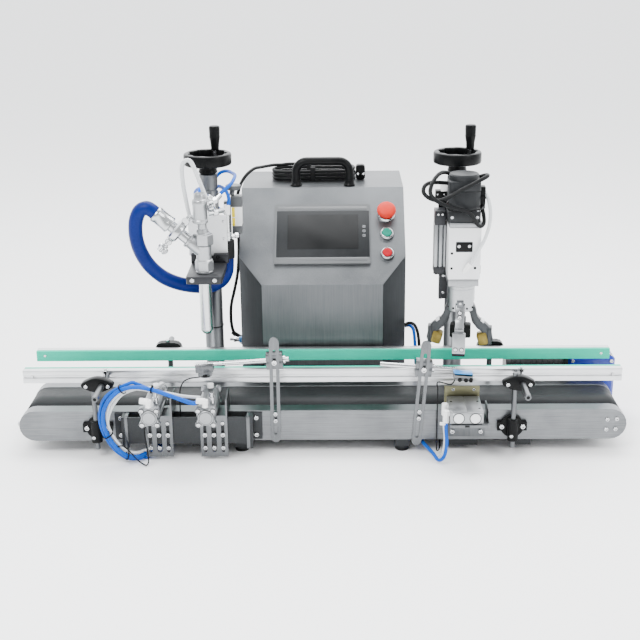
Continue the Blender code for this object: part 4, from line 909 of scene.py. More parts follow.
def stop_hoses():
    """The blue line to the cabinet, its two companions in the loop, and the signal cable."""
    hose(
        "air_line", [(-232, -83.5, 86.9), *AIR_ROUTE], 4.1, "blue_tube", "machine", 16, 5,
        "air_hose",
    )
    centre = Vector((-342, 0, 30))

    def beside(points, inward, forward):
        moved = []
        for p in points:
            p = Vector(p)
            away = Vector((p.x - centre.x, 0, p.z - centre.z)).normalized()
            moved.append(p - inward * away + Vector((0, forward, 0)))
        return moved

    loop = AIR_ROUTE[3:15]
    second = beside(loop, -7.2, 5)[2:]
    start = [(-327, -56, 101), (-350, -58, 113), (-364, -60, 115)]
    end = [(-308, 130, -48), (-305, 140, -30)]
    hose("air_line_second", [*start, *second[1:], *end], 3.4, "blue_tube", "machine", 14, 5)
    grey = beside(loop, 6.5, 6)
    start = [(-229, -62, 86), (-262, -64, 90), (-295, -66, 97.5)]
    hose("clear_line_right", [*start, *grey[1:], *end], 3, "clear_tube", "machine", 14, 5)
    short = [
        (-316, 17, 85), (-308, -10, 95), (-315, -40, 101), (-333, -54, 102), (-356, -57, 101),
        (-380, -56, 90), (-397, -54, 70), (-408, -53, 48), (-412, -53, 30),
    ]
    hose("clear_line_left", short, 3, "clear_tube", "machine", 12, 5)
    cable = [
        (-401, -54, -23), (-387, -60, -15), (-374, -62, -23), (-360, -62, -41), (-348, -61, -53),
        (-340, -59, -56.5), (-337, -54, -49), (-340, -47, -26), (-344, -40, 2), (-345, -36, 30),
    ]
    hose("stop_cable", cable, 1.4, "cord_rubber", "machine", 8, 5)
    ties = Solid()
    for index, size in ((5, 10.5), (3, 8.5), (9, 10.5), (11, 10)):
        here, after = Vector(AIR_ROUTE[index]), Vector(AIR_ROUTE[index + 1])
        along = (after - here).normalized()
        middle = here + Vector((0, 2.5, 0))
        ties.ring(size, size - 1.2, middle - 1.3 * along, middle + 1.3 * along, 24, 0.2)
    ties.piece("air_line_ties", "black_plastic")


def bottle_stops():
    """The bar across the inlet with its two air cylinders and their lines."""
    dress("stop_bar", "dark_coat", 0.6)
    ribs = Solid()
    for left in (-385.2, -146.4):
        ribs.block((left, -29.2, -36.2), (left + 6.6, -0.4, 30.2), 0.8)
    ribs.piece("stop_bar_ribs", "steel_part")
    screws = Solid().screws(
        [(x, -4.3, z) for x in (-396.5, -128.5) for z in (-17, 19)], -Y, 4.4, 3.4,
    )
    screws.piece("stop_bar_screws", "screw_steel")
    for side, x in zip(("left", "right"), STOP_X):
        stop_unit(side, x)
    stop_hoses()


# ---------------------------------------------------------------- bottle clamp
def bottle_clamp():
    """Twin-rod cylinder, its shelf, the plate it pushes, and its air fittings."""
    low, high, front = 245.5, 309, -75
    body = Solid()
    middle = (low + high) / 2 + 1
    body.blocks(
        1, ((low, front + 6, 33), (middle - 0.6, 8, 58)),
        ((middle + 0.6, front + 6, 33), (high, 8, 58)),
    )
    body.block((low + 1, front + 6, 33), (high - 1, 7, 57.2), 0)
    body.block((low, front, 34), (high, front + 6.4, 57.5), 1.2)
    body.block((low + 4, front + 10, 58), (low + 15, front + 18, 59), 0.6)
    body.piece("clamp_body", "clear_aluminium", "machine", "clamp_cylinder")
    frame_solid = Solid()
    frame_solid.block((low, front - 3, 27), (high + 12.5, -0.3, 33.5), 0.8)
    frame_solid.blocks(
        0.6, ((low, -4.3, -23), (high + 12.5, -0.3, 30)),
        ((high + 9.5, front + 10, 30), (high + 12.5, -10, 56)),
    )
    frame_solid.piece("clamp_shelf", "steel_part")
    caps, dark = Solid(), Solid()
    for x in (low + 16.5, high - 15.5):
        caps.lathe([(0, 0), (8.6, 0), (9.8, 0.8), (9.8, 3), (0, 3)], (x, front - 1.3, 45.5), Y)
        dark.ring(11.2, 9.9, (x, front - 0.8, 45.5), (x, front + 1, 45.5), 40, 0.2)
    caps.piece("clamp_caps", "white_metal")
    dark.block((middle - 4.5, front - 3.6, 28.5), (middle + 4.5, front - 1.8, 32.5), 0.4)
    for x, y in ((low + 6, -20), (high - 6, -20), (high - 6, -55)):
        dark.lathe([(0, 0), (2.2, 0), (2.2, 0.4), (0, 0.4)], (x, y, 58))
    dark.piece("clamp_ports", "rubber")
    fittings = Solid()
    z = 50
    for y in (-60, -25):
        fittings.ring(5.4, 3, (low + 0.4, y, z), (low - 8, y, z), 28)
        fittings.rod(6, (low - 6, y, z + 6), (low - 6, y, z - 10), 28)
        fittings.ring(6.2, 4, (low - 6, y, z - 18), (low - 6, y, z - 9), 28)
    fittings.rod(3, (low - 4, -60, 28), (low - 18, -60, 29), 20)
    fittings.piece("clamp_fittings", "white_plastic")
    x = low - 6
    first = [
        (x, -60, 34), (x, -60, 15), (x + 2, -60, -10), (x, -59, -33), (x - 5, -56, -47),
        (x - 13, -50, -52), (x - 21, -38, -45), (x - 30, -20, -41), (x - 38, 2, -40),
        (x - 42, 30, -42),
    ]
    hose("clamp_line", first, 3.4, "blue_tube", "machine", 14, 5)
    second = [(a - 1, y + 33 * (1 - k / 9), z - 2) for k, (a, y, z) in enumerate(first)]
    hose("clamp_line_second", second[:8], 3, "clear_tube", "machine", 12, 5)
    plate = Solid().block((low - 4, 12, 34.5), (high + 1.5, 18, 76.5), 1)
    plate.piece("clamp_plate_front", "olive_plate", "bottle_clamp", "clamp_plate")
    pins = Solid()
    for x in ((low + high) / 2 - 15, (low + high) / 2 + 15):
        pins.rod(5, (x, -58, 45.5), (x, 13, 45.5), 32)
    pins.screws([(x, 12, 70) for x in (low + 13, high - 10)], -Y, 3, 1.6)
    pins.piece("clamp_pins", "polished", "bottle_clamp")
    bolts = Solid()
    bolts.screw((high + 4, -4.3, -12), -Y, 4.4, 3.4)
    bolts.screw((low + 12, -4.3, -12), -Y, 4.4, 3.4)
    bolts.screws([(x, front, 54.8) for x in (low + 6, high - 6)], -Y, 1.6, 0.6)
    bolts.piece("clamp_bolts", "screw_steel")


# ---------------------------------------------------------------- columns and handwheels
COLUMN_Y, FILL_COLUMN_X, CAP_COLUMN_X = 200, -226.2, 273.7


def handwheel(side, x, grip_offset):
    """Dished wheel with finger lobes round the inside of its rim, lead screw and crank grip."""
    body, grip_body = f"{side}_wheel", f"{side}_grip"
    low, high, outer = 482.8, 506.2, 48
    loops = []
    steps, lobes = 72, 9
    for k in range(steps):
        t = math.tau * k / steps
        inside = 37.2 + 2.1 * math.cos(lobes * t)
        section = (
            (outer - 3, low), (outer - 0.8, low + 1.2), (outer, low + 4), (outer, high - 4),
            (outer - 1, high - 1.2), (outer - 3.4, high), (inside + 2.2, high),
            (inside + 0.5, high - 1.2), (inside, high - 4), (inside, low + 2), (inside + 1, low),
        )
        loops.append(
            [
                ((x + r * math.cos(t)) * MM, (COLUMN_Y + r * math.sin(t)) * MM, z * MM)
                for r, z in section
            ]
        )
    wheel = Solid().hoop(loops)
    foot = 467
    profile = [
        (0, 496), (9.5, 496), (12, 494.5), (12.5, 491.2), (38.5, 490), (38.5, 487.8), (20, 487.2),
        (18.8, 485), (18, 472), (19, 470), (19, foot), (0, foot),
    ]
    wheel.lathe(profile, (x, COLUMN_Y, 0), Z, 56)
    wheel.piece(f"{side}_wheel_rim", "gloss_black", body, f"{side}_handwheel")
    bright = Solid()
    bright.rod(7, (x, COLUMN_Y, 150), (x, COLUMN_Y, foot + 2), 24)
    gx, gy = x + grip_offset[0], COLUMN_Y + grip_offset[1]
    bright.rod(3.8, (gx, gy, 490), (gx, gy, 550), 24)
    bright.rod(6, (gx, gy, 489.5), (gx, gy, 505.6), 6)
    bright.lathe([(0, 0), (5, 0), (6.2, -1.2), (0, -1.2)], (x, COLUMN_Y, 497.2))
    bright.piece(f"{side}_wheel_pin", "screw_steel", body)
    low, high = 506.2, 554.8
    sleeve = [
        (4.4, low), (7.4, low), (8.2, low + 1), (8.3, low + 5), (9, low + 14), (10.6, low + 24),
        (11, low + 26), (11, low + 27.2), (10.6, low + 28.4), (11, low + 40), (11, high - 3),
        (10, high - 0.8), (8.5, high), (0, high), (0, high - 2), (4.4, high - 2),
    ]
    grip = Solid().lathe(sleeve, (gx, gy, 0), Z, 40)
    grip.piece(f"{side}_grip_sleeve", "gloss_black", grip_body, f"{side}_wheel_grip")


def columns():
    """Columns of both heads with their flange screws, collars and handwheels."""
    for side, x in (("fill", FILL_COLUMN_X), ("cap", CAP_COLUMN_X)):
        dress(f"{side}_column", "dark_steel", 0)
        screws = Solid()
        for k in range(4):
            t = math.radians(45 + 90 * k)
            place = (x + 27.5 * math.cos(t), COLUMN_Y + 27.5 * math.sin(t), -21.7)
            screws.screw(place, Z, 3.6, 3.4)
        screws.piece(f"{side}_column_screws", "screw_steel")
        collar = Solid().ring(18.2, 16.2, (x, COLUMN_Y, 432.5), (x, COLUMN_Y, 464.5), 48, 1)
        collar.piece(f"{side}_column_collar", "dark_steel")
    handwheel("fill", FILL_COLUMN_X, (12.3, 34))
    handwheel("cap", CAP_COLUMN_X, (27.5, 23.5))
    tie = Solid().ring(
        20.2, 19.1, (FILL_COLUMN_X, COLUMN_Y, 141.8), (FILL_COLUMN_X, COLUMN_Y, 144.2),
    )
    tie.piece("column_tie", "rubber")


# ---------------------------------------------------------------- filling head
FILL_X, NOZZLE_Y = -227.6, 80
HOLDER_TOP = 293
BRANCH_FOOT, BRANCH_TILT = 333, math.radians(41.0)
HOSE_END = Vector((-192.5, 183, 296))
HOSE_ROUTE = (
    (-335.2, 80.3, 422.5), (-347.5, 80.7, 417), (-355.5, 81.5, 402), (-359, 83, 382),
    (-358, 85, 356), (-350, 89, 327), (-334, 96, 298), (-310, 108, 273), (-280, 122, 256),
    (-248, 135, 247), (-221, 145, 246), (-203, 162, 252), (-194.2, 178, 265),
)


def angled(distance, aside=0, forward=0):
    """A point on the inlet branch; aside moves it down and left across the branch."""
    along, up = math.cos(BRANCH_TILT), math.sin(BRANCH_TILT)
    return Vector(
        (
            FILL_X - distance * along - aside * up, NOZZLE_Y + forward,
            BRANCH_FOOT + distance * up - aside * along,
        )
    )


def fill_carriage():
    """Nozzle holder, back plate, sleeve on the column and the hose's tail on the carriage."""
    black = Solid()
    holder = rounded((-261, 45), (-191, 164), 6, 4)
    black.prism(holder, 278, HOLDER_TOP, "XY", 1)
    black.blocks(
        0.8, ((-262, 148, 291), (-240, 166, 310)), ((-216.5, 148, 291), (-187, 166, 310)),
        ((-249, 154, 291), (-206, 166, 304)),
    )
    black.piece("fill_holder", "black_anodised", "fill_lift", "fill_carriage")
    sleeve = Solid()
    outline = rounded((-249.2, 172), (-203.2, 227), 5, 4)
    hole = arc((FILL_COLUMN_X, COLUMN_Y), 19.6, 9, 369, 20)[:-1]
    sleeve.band(outline, hole, 300, 370)
    sleeve.block((-204, 171, 342), (-190.5, 186, 352), 0.6)
    sleeve.piece("fill_sleeve", "black_anodised", "fill_lift")
    plate = Solid().block((-266.5, 160, 304), (-189, 171.6, 386), 1)
    plate.piece("fill_plate", "white_metal", "fill_lift")
    screws = Solid()
    screws.screws([(x, 45, 286.5) for x in (-248.7, -204.7)], -Y, 4.2, 2)
    screws.screw((-207.8, 151, 304), -Y, 4, 3)
    for x, z in ((-256, 340), (-195.5, 340), (-256, 375), (-195.5, 375)):
        screws.screw((x, 160, z), -Y, 2.6, 1)
    screws.screws([(x, 227, z) for x in (-242, -210) for z in (312, 358)], Y, 3.6, 2.5)
    screws.piece("fill_holder_screws", "screw_steel", "fill_lift")

    x, y, z = HOSE_END
    tail = Solid().lathe(
        [(14.2, -2), (16, -2), (16.2, 4), (16, 33), (15, 35), (7, 35.5), (7, 30), (14.2, 30)],
        (x, y, z),
    )
    tail.piece("hose_tail_sleeve", "rubber", "fill_lift")
    pipe = Solid()
    px, py = x + 4, y - 4
    pipe.rod(7.8, (px, py, z + 34), (px, py, z + 40), 6)
    pipe.rod(6.4, (px, py, z + 39.5), (px, py, z + 45), 32)
    pipe.rod(7.8, (px, py, z + 44.5), (px, py, z + 52), 6)
    pipe.rod(4.2, (px, py, z + 51), (px, py, z + 92), 28)
    pipe.rod(3.4, (px + 6, py, z + 43), (px + 19, y + 4, z + 43.5), 24)
    pipe.rod(5.6, (px + 13, y, z + 43.3), (px + 19, y + 4, z + 43.5), 6)
    pipe.piece("hose_tail_pipe", "polished", "fill_lift")
    white = Solid()
    white.ring(6.2, 3.8, (px, py, z + 88), (px, py, z + 109), 28, 1)
    white.rod(5.2, (px - 2, py, z + 98), (px - 14, y - 10, z + 98), 28)
    white.piece("hose_tail_fitting", "white_plastic", "fill_lift")

    valve_block = Solid().blocks(
        1, ((-186, 232, 387), (-163, 256, 409)), ((-184.5, 233, 330), (-164.5, 255, 347.5)),
        ((-200, 227, 330), (-186, 240, 400)),
    )
    valve_block.piece("fill_valve_block", "panel_grey", "fill_lift")
    coil = Solid().block((-184.2, 231.6, 347), (-164, 256, 387.5), 1)
    coil.piece("fill_valve_coil", "white_plastic", "fill_lift")
    stripe = Solid().blocks(
        0.2, ((-184.2, 230.5, 348), (-177.8, 232, 364.5)),
        ((-184.2, 230.5, 366.5), (-177.8, 232, 386.8)),
    )
    stripe.piece("fill_valve_stripe", "yellow_plastic", "fill_lift")
    disc = Solid().lathe(
        [(0, 0), (15, 0), (16, 1.5), (16, 7.5), (14.8, 9), (0, 9)], (-182, 255, 420),
    )
    disc.rod(5, (-185, 248, 408.5), (-183, 254, 421), 20)
    disc.piece("fill_valve_knob", "panel_grey", "fill_lift")


def fill_valve():
    """Angle seat valve: hexagons, body, actuator, branch with its pipe clamp and hose crimp."""
    axis = Vector((FILL_X, NOZZLE_Y, 0))
    cast = Solid()
    cast.rod(18.2, axis + Z * (HOLDER_TOP + 4), axis + Z * 316.5, 6, 1.2)
    cast.rod(16.8, axis + Z * (HOLDER_TOP + 0.3), axis + Z * (HOLDER_TOP + 4.2), 40, 0.8)
    cast.lathe(
        [
            (5.5, 316), (16.5, 316), (16.5, 318.5), (14.8, 320), (14.6, 335), (15, 347),
            (17.2, 349.5), (5.5, 349.5),
        ],
        axis,
    )
    cast.rod(19.6, axis + Z * 349, axis + Z * 370.5, 6, 1.2)
    cast.lathe(
        [
            (5.5, 370), (15.5, 370), (15.5, 372.5), (12, 374), (11, 380), (8.6, 381), (8.4, 393.5),
            (5.5, 393.5),
        ],
        axis - 1 * X,
    )
    cast.rod(13.2, angled(0), angled(36), 40, 1)
    cast.rod(15, angled(34), angled(40), 40, 1.4)
    cast.piece("valve_body", "cast_steel", "fill_lift", "fill_valve")
    head = Solid().lathe(
        [
            (5.5, 392), (13, 392), (15, 393.5), (15, 398.5), (14, 400), (14, 428), (14.8, 429.5),
            (14.8, 435.5), (13.4, 438.5), (11.2, 440), (11, 448), (9.5, 451), (0, 451.5), (0, 442),
            (5.5, 442),
        ],
        axis - 4 * X,
    )
    head.piece("valve_actuator", "cast_steel", "fill_lift")
    along = (angled(1000) - angled(0)).normalized()
    bright = Solid()
    bright.rod(10.8, angled(39), angled(60), 40)
    bright.rod(11.2, angled(72), angled(85), 40)
    bright.lathe(
        [
            (11.2, 0), (16, 1), (17.2, 2.5), (17.2, 8.5), (16.4, 10), (16.4, 30), (17.2, 31.5),
            (17.2, 36.5), (16, 38.5), (13.8, 38.5), (13.8, 33), (11.2, 33),
        ],
        angled(82), along, 56,
    )
    bright.piece("valve_branch", "screw_steel", "fill_lift")
    clamp = Solid()
    clamp.lathe(
        [(11, -8.5), (20.5, -8.5), (24.5, -5), (25, 0), (24.5, 5), (20.5, 8.5), (11, 8.5)],
        angled(66), along, 56,
    )
    clamp.rod(7.8, angled(66, -27, -8), angled(66, -27, 8), 32, 1)
    clamp.rod(6.8, angled(66, 26, -9), angled(66, 26, 9), 32, 1)
    clamp.rod(3.8, angled(66, 24, -6), angled(66, 48, -6), 24)
    clamp.rod(6.4, angled(66, 34, -6), angled(66, 43, -6), 32, 1)
    clamp.rod(7, angled(59, 44, -15), angled(72, 44, 3), 32, 1.4, 6.4)
    clamp.rod(5, angled(69, 38.5, -13), angled(70, 50, -16), 24, 1.6)
    clamp.piece("valve_pipe_clamp", "polished", "fill_lift")
    dress("valve_stem", "polished", 0.2)
    nozzle = Solid().lathe(
        [
            (9.5, HOLDER_TOP - 0.4), (12.6, HOLDER_TOP - 0.4), (12.6, 268), (12.2, 267),
            (12.4, 176), (12.2, 174.5), (8.4, 168.2), (7.8, 167.6), (5, 167.6), (9.5, 175.6),
        ],
        axis, Z, 56,
    )
    nozzle.piece("nozzle", "polished", "fill_lift", "nozzle_tube")


def fill_hoses():
    """Product hose, air lines and fittings of the filling head, and the cabinet's port."""
    x, y, z = HOSE_END
    ends = ((angled(119), angled(130)), ((x, y, z - 12), (x, y, z + 1)))
    route = (*ends[0], *HOSE_ROUTE, *ends[1])
    hose("product_line", route, 13.9, "blue_hose", "fill_lift", 28, 6, "product_hose")
    clear = [
        (-217, 98, 430), (-222.8, 99, 442.7), (-234.9, 100, 476.2), (-245.1, 100, 503.4),
        (-253, 100, 511), (-262, 100, 506.5), (-265.5, 99, 490), (-263, 98, 454.8),
        (-256.1, 96, 411.2), (-252, 93, 401), (-244, 88, 399),
    ]
    hose("clear_hose", clear, 4.1, "clear_tube", "fill_lift", 14, 5)
    loop = [
        (-202, 120, 430), (-195.6, 125, 439.5), (-186.3, 131, 446.8), (-179.2, 138, 452.2),
        (-173.7, 150, 457.2), (-171.6, 175, 460.2), (-173.2, 206, 459.8), (-181.3, 235, 458),
        (-190.1, 254, 457.5), (-200.1, 262, 456), (-209.1, 264, 452.1), (-217.9, 262, 443),
        (-224, 259, 427), (-225, 256, 408), (-223, 254, 380), (-212, 248, 358), (-197, 238, 352),
    ]
    short = [
        (-187, 179, 398), (-185, 179, 409), (-185, 180, 420.3), (-189, 190, 427.9),
        (-195.4, 205, 431.7), (-202.5, 218, 432.6), (-210.9, 231, 431.5), (-218.7, 240, 425),
        (-223.5, 244, 410), (-219, 244, 392), (-208, 239, 379), (-197, 234, 376),
    ]
    back = [
        (-230, 90, 438), (-235, 106, 445), (-237, 130, 449), (-246, 156, 440), (-252, 180, 428),
        (-250, 198, 406), (-245, 200, 370),
    ]
    for name, route, radius in (("loop", loop, 3.6), ("short", short, 3.6), ("back", back, 3)):
        hose(f"blue_line_{name}", route, radius, "blue_tube", "fill_lift", 12, 5)
    fittings = Solid()
    for start, end, radius in (
        ((-218.5, 100, 427), (-210, 106, 428.5), 5.6),
        ((-211, 105, 428.2), (-203.5, 111, 429.8), 7.2), ((-204, 110, 429.6), (-196, 124, 437), 5),
        ((-219, 100, 406), (-209.5, 106, 406.2), 5.2), ((-210, 105, 406.2), (-202, 111, 406.4), 7),
        ((-202.5, 111, 406.4), (-190, 125, 406.6), 4.6),
        ((-207.5, 108, 400), (-207.5, 108, 433), 4), ((-242, 88, 400), (-250, 93, 400.5), 5.2),
    ):
        fittings.rod(radius, start, end, 6 if radius > 6.5 else 28, 0.6)
    for start, end in (
        ((-215, 98.5, 416.5), (-206, 98.5, 420)), ((-218, 98.5, 440), (-211, 102, 434)),
    ):
        fittings.rod(5.8, start, end, 28, 0.8)
    fittings.piece("valve_fittings", "polished", "fill_lift")
    port = Solid()
    port.rod(7, (-173.5, 245, 93.5), (-179, 245, 93.5), 32, 0.8)
    port.ring(7.8, 6, (-174, 245, 93.5), (-171, 245, 93.5))
    port.piece("cabinet_port_ring", "sky_plastic")
    metal = Solid()
    metal.rod(5, (-178.5, 245, 93.5), (-188, 245, 94), 28)
    metal.rod(6.6, (-185, 245, 93.8), (-190.5, 245, 94.2), 6)
    metal.rod(3.4, (-190, 245, 94.2), (-199, 245, 94.6), 20)
    metal.piece("cabinet_port", "screw_steel")


# ---------------------------------------------------------------- capping head
CAP_X, HEAD_Y = 275.5, 80
CHUCK_TURN = -7.5
HEAD_AXIS = Matrix.Translation((CAP_X, HEAD_Y, 0))


def cap_carriage():
    """Slide plate and sleeve, the air cylinder beside the head and the valve behind it."""
    dress("cap_carriage", "black_anodised", 0.6)
    barrel = Solid()
    x0, x1, y0, y1 = 222.2, 244.1, 90.5, 122.8
    outline = [
        (x0, y0), (x0 + 6, y0), (x0 + 7, y0 + 1.6), (x0 + 9, y0 + 1.6), (x0 + 10, y0),
        (x0 + 15, y0), (x0 + 16, y0 + 1.6), (x0 + 18, y0 + 1.6), (x0 + 19, y0), (x1, y0), (x1, y1),
        (x0, y1),
    ]
    barrel.prism(outline, 297.5, 382, "XY", 0.4)
    barrel.piece("lift_cylinder_barrel", "clear_aluminium", "cap_lift")
    ends = Solid()
    ends.blocks(
        1.2, ((x0 + 0.5, y0 - 0.6, 381.5), (x1 - 0.5, y1, 410)),
        ((x0, y0 - 0.6, 284), (x1, y1, 298)),
    )
    ends.rod(6.6, (229, 105, 280), (229, 105, 285), 28)
    ends.piece("lift_cylinder_ends", "black_anodised", "cap_lift")
    rail = Solid().block((308.4, 104, 296), (315, 122.6, 386), 0.6)
    rail.piece("slide_cover", "clear_aluminium", "cap_lift")
    foot = Solid().block((308.2, 103.6, 279), (315.6, 122.8, 296.5), 1)
    foot.piece("slide_foot", "black_anodised", "cap_lift")
    valve = Solid().block((226.2, 129, 416), (251.4, 150, 440.5), 1)
    valve.block((233, 138.5, 395), (250, 150, 417), 0.8)
    valve.piece("cap_valve", "black_plastic", "cap_lift")
    top = Solid().block((236, 128, 440), (251.2, 150, 459), 1)
    top.piece("cap_valve_top", "white_plastic", "cap_lift")
    dots = Solid()
    dots.screws(
        [(x, 129, z) for x, z in ((230, 434), (237, 425), (243, 434), (247, 422))], -Y, 1.7, 0.6,
    )
    dots.screws([(x, y0 - 0.6, z) for x, z in ((229, 403), (237, 403))], -Y, 2.2, 0.8)
    for x, z in ((244, 235), (244, 270)):
        dots.screw((x, 123, z), -Y, 2.6, 1.6)
    dots.screws([(x, 227, z) for x in (256, 291) for z in (305, 355)], Y, 3.6, 2.5)
    dots.piece("cap_carriage_screws", "screw_steel", "cap_lift")


def cap_head():
    """Bearing housing, servo motor with its cables, and what is screwed to them."""
    housing = Solid()
    housing.block((246, 45, 285), (307.5, 115, 387), 1.2)
    housing.block((CAP_X - 20, 114, 295), (CAP_X + 20, 122.5, 375), 0.8)
    housing.piece("head_housing", "white_metal", "cap_head", "cap_housing")
    foot = Solid().blocks(
        1, ((247, 46.5, 270.8), (305.5, 113, 285.2)), ((246.8, 48, 386.8), (306.7, 112, 396.2)),
    )
    foot.piece("head_foot", "clear_aluminium", "cap_head")
    motor = Solid()
    half = 30
    flange = rounded((CAP_X - 31, HEAD_Y - half), (CAP_X + 31, HEAD_Y + half), 4, 4)
    motor.prism(flange, 396.6, 417.5, "XY", 0.8)
    corner = ((half - 1, -21), (half, -19.5), (half, 19.5), (half - 1, 21), (half - 5, 25))
    case = four_sided((CAP_X, HEAD_Y), corner)
    motor.prism(case, 417, 456, "XY", 0.6)
    upper = rounded((CAP_X - half, HEAD_Y - half), (CAP_X + half, HEAD_Y + half), 6, 5)
    motor.prism(upper, 456.5, 475, "XY", 1)
    motor.lathe(
        [(0, 474), (29, 474), (29, 483.5), (26.8, 486.2), (22, 486.8), (0, 486.8)],
        (CAP_X, HEAD_Y, 0), Z, 56,
    )
    motor.piece("servo_motor", "motor_paint", "cap_head", "cap_motor")
    plug = Solid()
    plug.block((CAP_X + 29, HEAD_Y - 10, 427), (CAP_X + 41, HEAD_Y + 10, 461), 1.2)
    plug.block((CAP_X + 31, HEAD_Y - 12, 438), (CAP_X + 42, HEAD_Y + 12, 445), 1)
    plug.rod(6.2, (CAP_X + 35, HEAD_Y - 2, 428), (CAP_X + 35, HEAD_Y - 6, 418), 28)
    plug.piece("servo_plug", "black_plastic", "cap_head")
    label = Solid().prism(rounded((259.6, 340), (291.7, 360), 1.4, 3), 44, 45.2, "XZ", 0.2)
    for x, z in ((252.4, 337.3), (252.4, 307.4), (297.5, 308.1)):
        label.lathe([(0, 0), (2.6, 0), (2.6, 0.3), (0, 0.3)], (x, 45, z), -Y)
    label.piece("head_plate", "black_plastic", "cap_head")
    screws = Solid()
    screws.screws([(x, 44, 351.8) for x in (265.6, 285.4)], -Y, 3, 1.2)
    screws.screws(
        [(x, HEAD_Y + y, 417.6) for x in (CAP_X - 24.5, CAP_X + 24.5) for y in (-24.5, 24.5)], Z,
        3.4, 2.6,
    )
    screws.screws([(x, HEAD_Y - half, 407) for x in (CAP_X - 24, CAP_X + 24)], -Y, 3, 1.4)
    screws.piece("head_screws", "screw_steel", "cap_head")
    seam = Solid().block((CAP_X - 29, HEAD_Y - 29, 455.5), (CAP_X + 29, HEAD_Y + 29, 457), 0)
    seam.piece("servo_seam", "rubber", "cap_head")
    push = Solid()
    push.rod(4.2, (276.8, 45.2, 301), (279, 40, 305), 24)
    push.ring(5.2, 3, (278.4, 41, 303.5), (283, 38.5, 311), 28)
    push.ring(5.8, 3.4, (282.6, 39, 310.5), (288, 37.5, 318), 28)
    push.piece("head_push_fitting", "white_plastic", "cap_head")
    clear = [
        (287, 37.8, 316.5), (295, 37, 331), (304, 38, 348), (314.5, 40, 369), (322.5, 44, 396),
        (323.5, 52, 423), (319, 68, 443), (312, 95, 452), (303, 120, 446),
    ]
    hose("head_clear_hose", clear, 3.4, "clear_tube", "cap_head", 14, 5)
    upper = [
        (296, 103, 469), (308, 96, 476), (317, 70, 484), (315, 48, 486), (300.7, 40, 480),
        (286, 39, 472), (269.9, 39, 464.3), (246.4, 40, 450.2), (226, 42, 441.7),
        (207.2, 45, 445.7), (196.6, 50, 455.3), (198.5, 58, 465.5), (209, 72, 469), (223, 86, 467),
        (238, 92, 465), (248, 93, 464),
    ]
    hose("servo_cable_upper", upper, 3.9, "cord_rubber", "cap_head", 16, 5)
    lower = [
        (252, 105, 480), (240, 98, 484), (230, 84, 485), (220, 68, 480), (212, 54, 470),
        (208.9, 45, 455.2), (218.5, 37, 443.7), (233, 34, 436), (246.9, 33, 431),
        (268.6, 33, 424.9), (284.8, 34, 416.3), (296, 38, 400), (301, 42, 393.5), (307.5, 48, 390),
        (313, 56, 395), (313, 65, 408), (310.5, 74, 420),
    ]
    hose("servo_cable_lower", lower, 3.9, "cord_rubber", "cap_head", 16, 5)
    thin = [
        (311, 72, 423), (308, 50, 424), (300, 43, 423), (280, 43, 420), (260, 43, 419),
        (245, 46, 423), (241, 60, 429), (249, 76, 434),
    ]
    hose("servo_cable_thin", thin, 1.6, "cord_rubber", "cap_head", 10, 5)


def jaw_turn(index):
    """Place of a jaw: the head's axis, turned so that the front jaw comes to the given quarter."""
    return HEAD_AXIS @ Matrix.Rotation(math.radians(90 * index + CHUCK_TURN), 4, "Z")


def chuck():
    """Chuck drum with its slots, cheeks, pins and the front clip."""
    dress("cap_chuck", "turned_aluminium", 0.5)
    bands = Solid(HEAD_AXIS)
    for z in (260, 266):
        bands.ring(27.4, 26.8, (0, 0, z), (0, 0, z + 1.2), 64, 0.2)
    bands.piece("chuck_bands", "clear_aluminium", "chuck")
    pins = Solid()
    for index in range(4):
        turn = jaw_turn(index)
        for offset in (-13.3, 13.3):
            start = turn @ Vector((offset, -22.5, 222.5))
            out = (turn.to_3x3() @ Vector((0, -1, 0))).normalized()
            pins.rod(2.2, start, start + 2.2 * out, 20)
    pins.piece("chuck_pins", "rubber", "chuck")
    turn = jaw_turn(0)
    clip = Solid(turn).block((-6.6, -29, 225.5), (6.6, -25.5, 240), 0.8)
    clip.piece("chuck_clip", "steel_part", "chuck")
    hole = Solid(turn).screw((0, -29, 234), -Y, 2.6, 0.8)
    hole.piece("chuck_clip_screw", "screw_steel", "chuck")


JAW_OUTLINE = (
    (-15, 229), (-15, 213), (-18.5, 209), (-20, 204), (-21.5, 196.5), (-24.5, 189), (-33.5, 177.5),
    (-41.5, 171.5), (-47.6, 167), (-51.5, 162.2), (-54.1, 145), (-57, 143), (-63, 149),
    (-65.5, 154.5), (-64.3, 162), (-62.4, 170.6), (-59.8, 178.5), (-53, 185.3), (-38.2, 196.5),
    (-34.2, 202.2), (-32, 209), (-30.7, 216.5), (-25, 229),
)


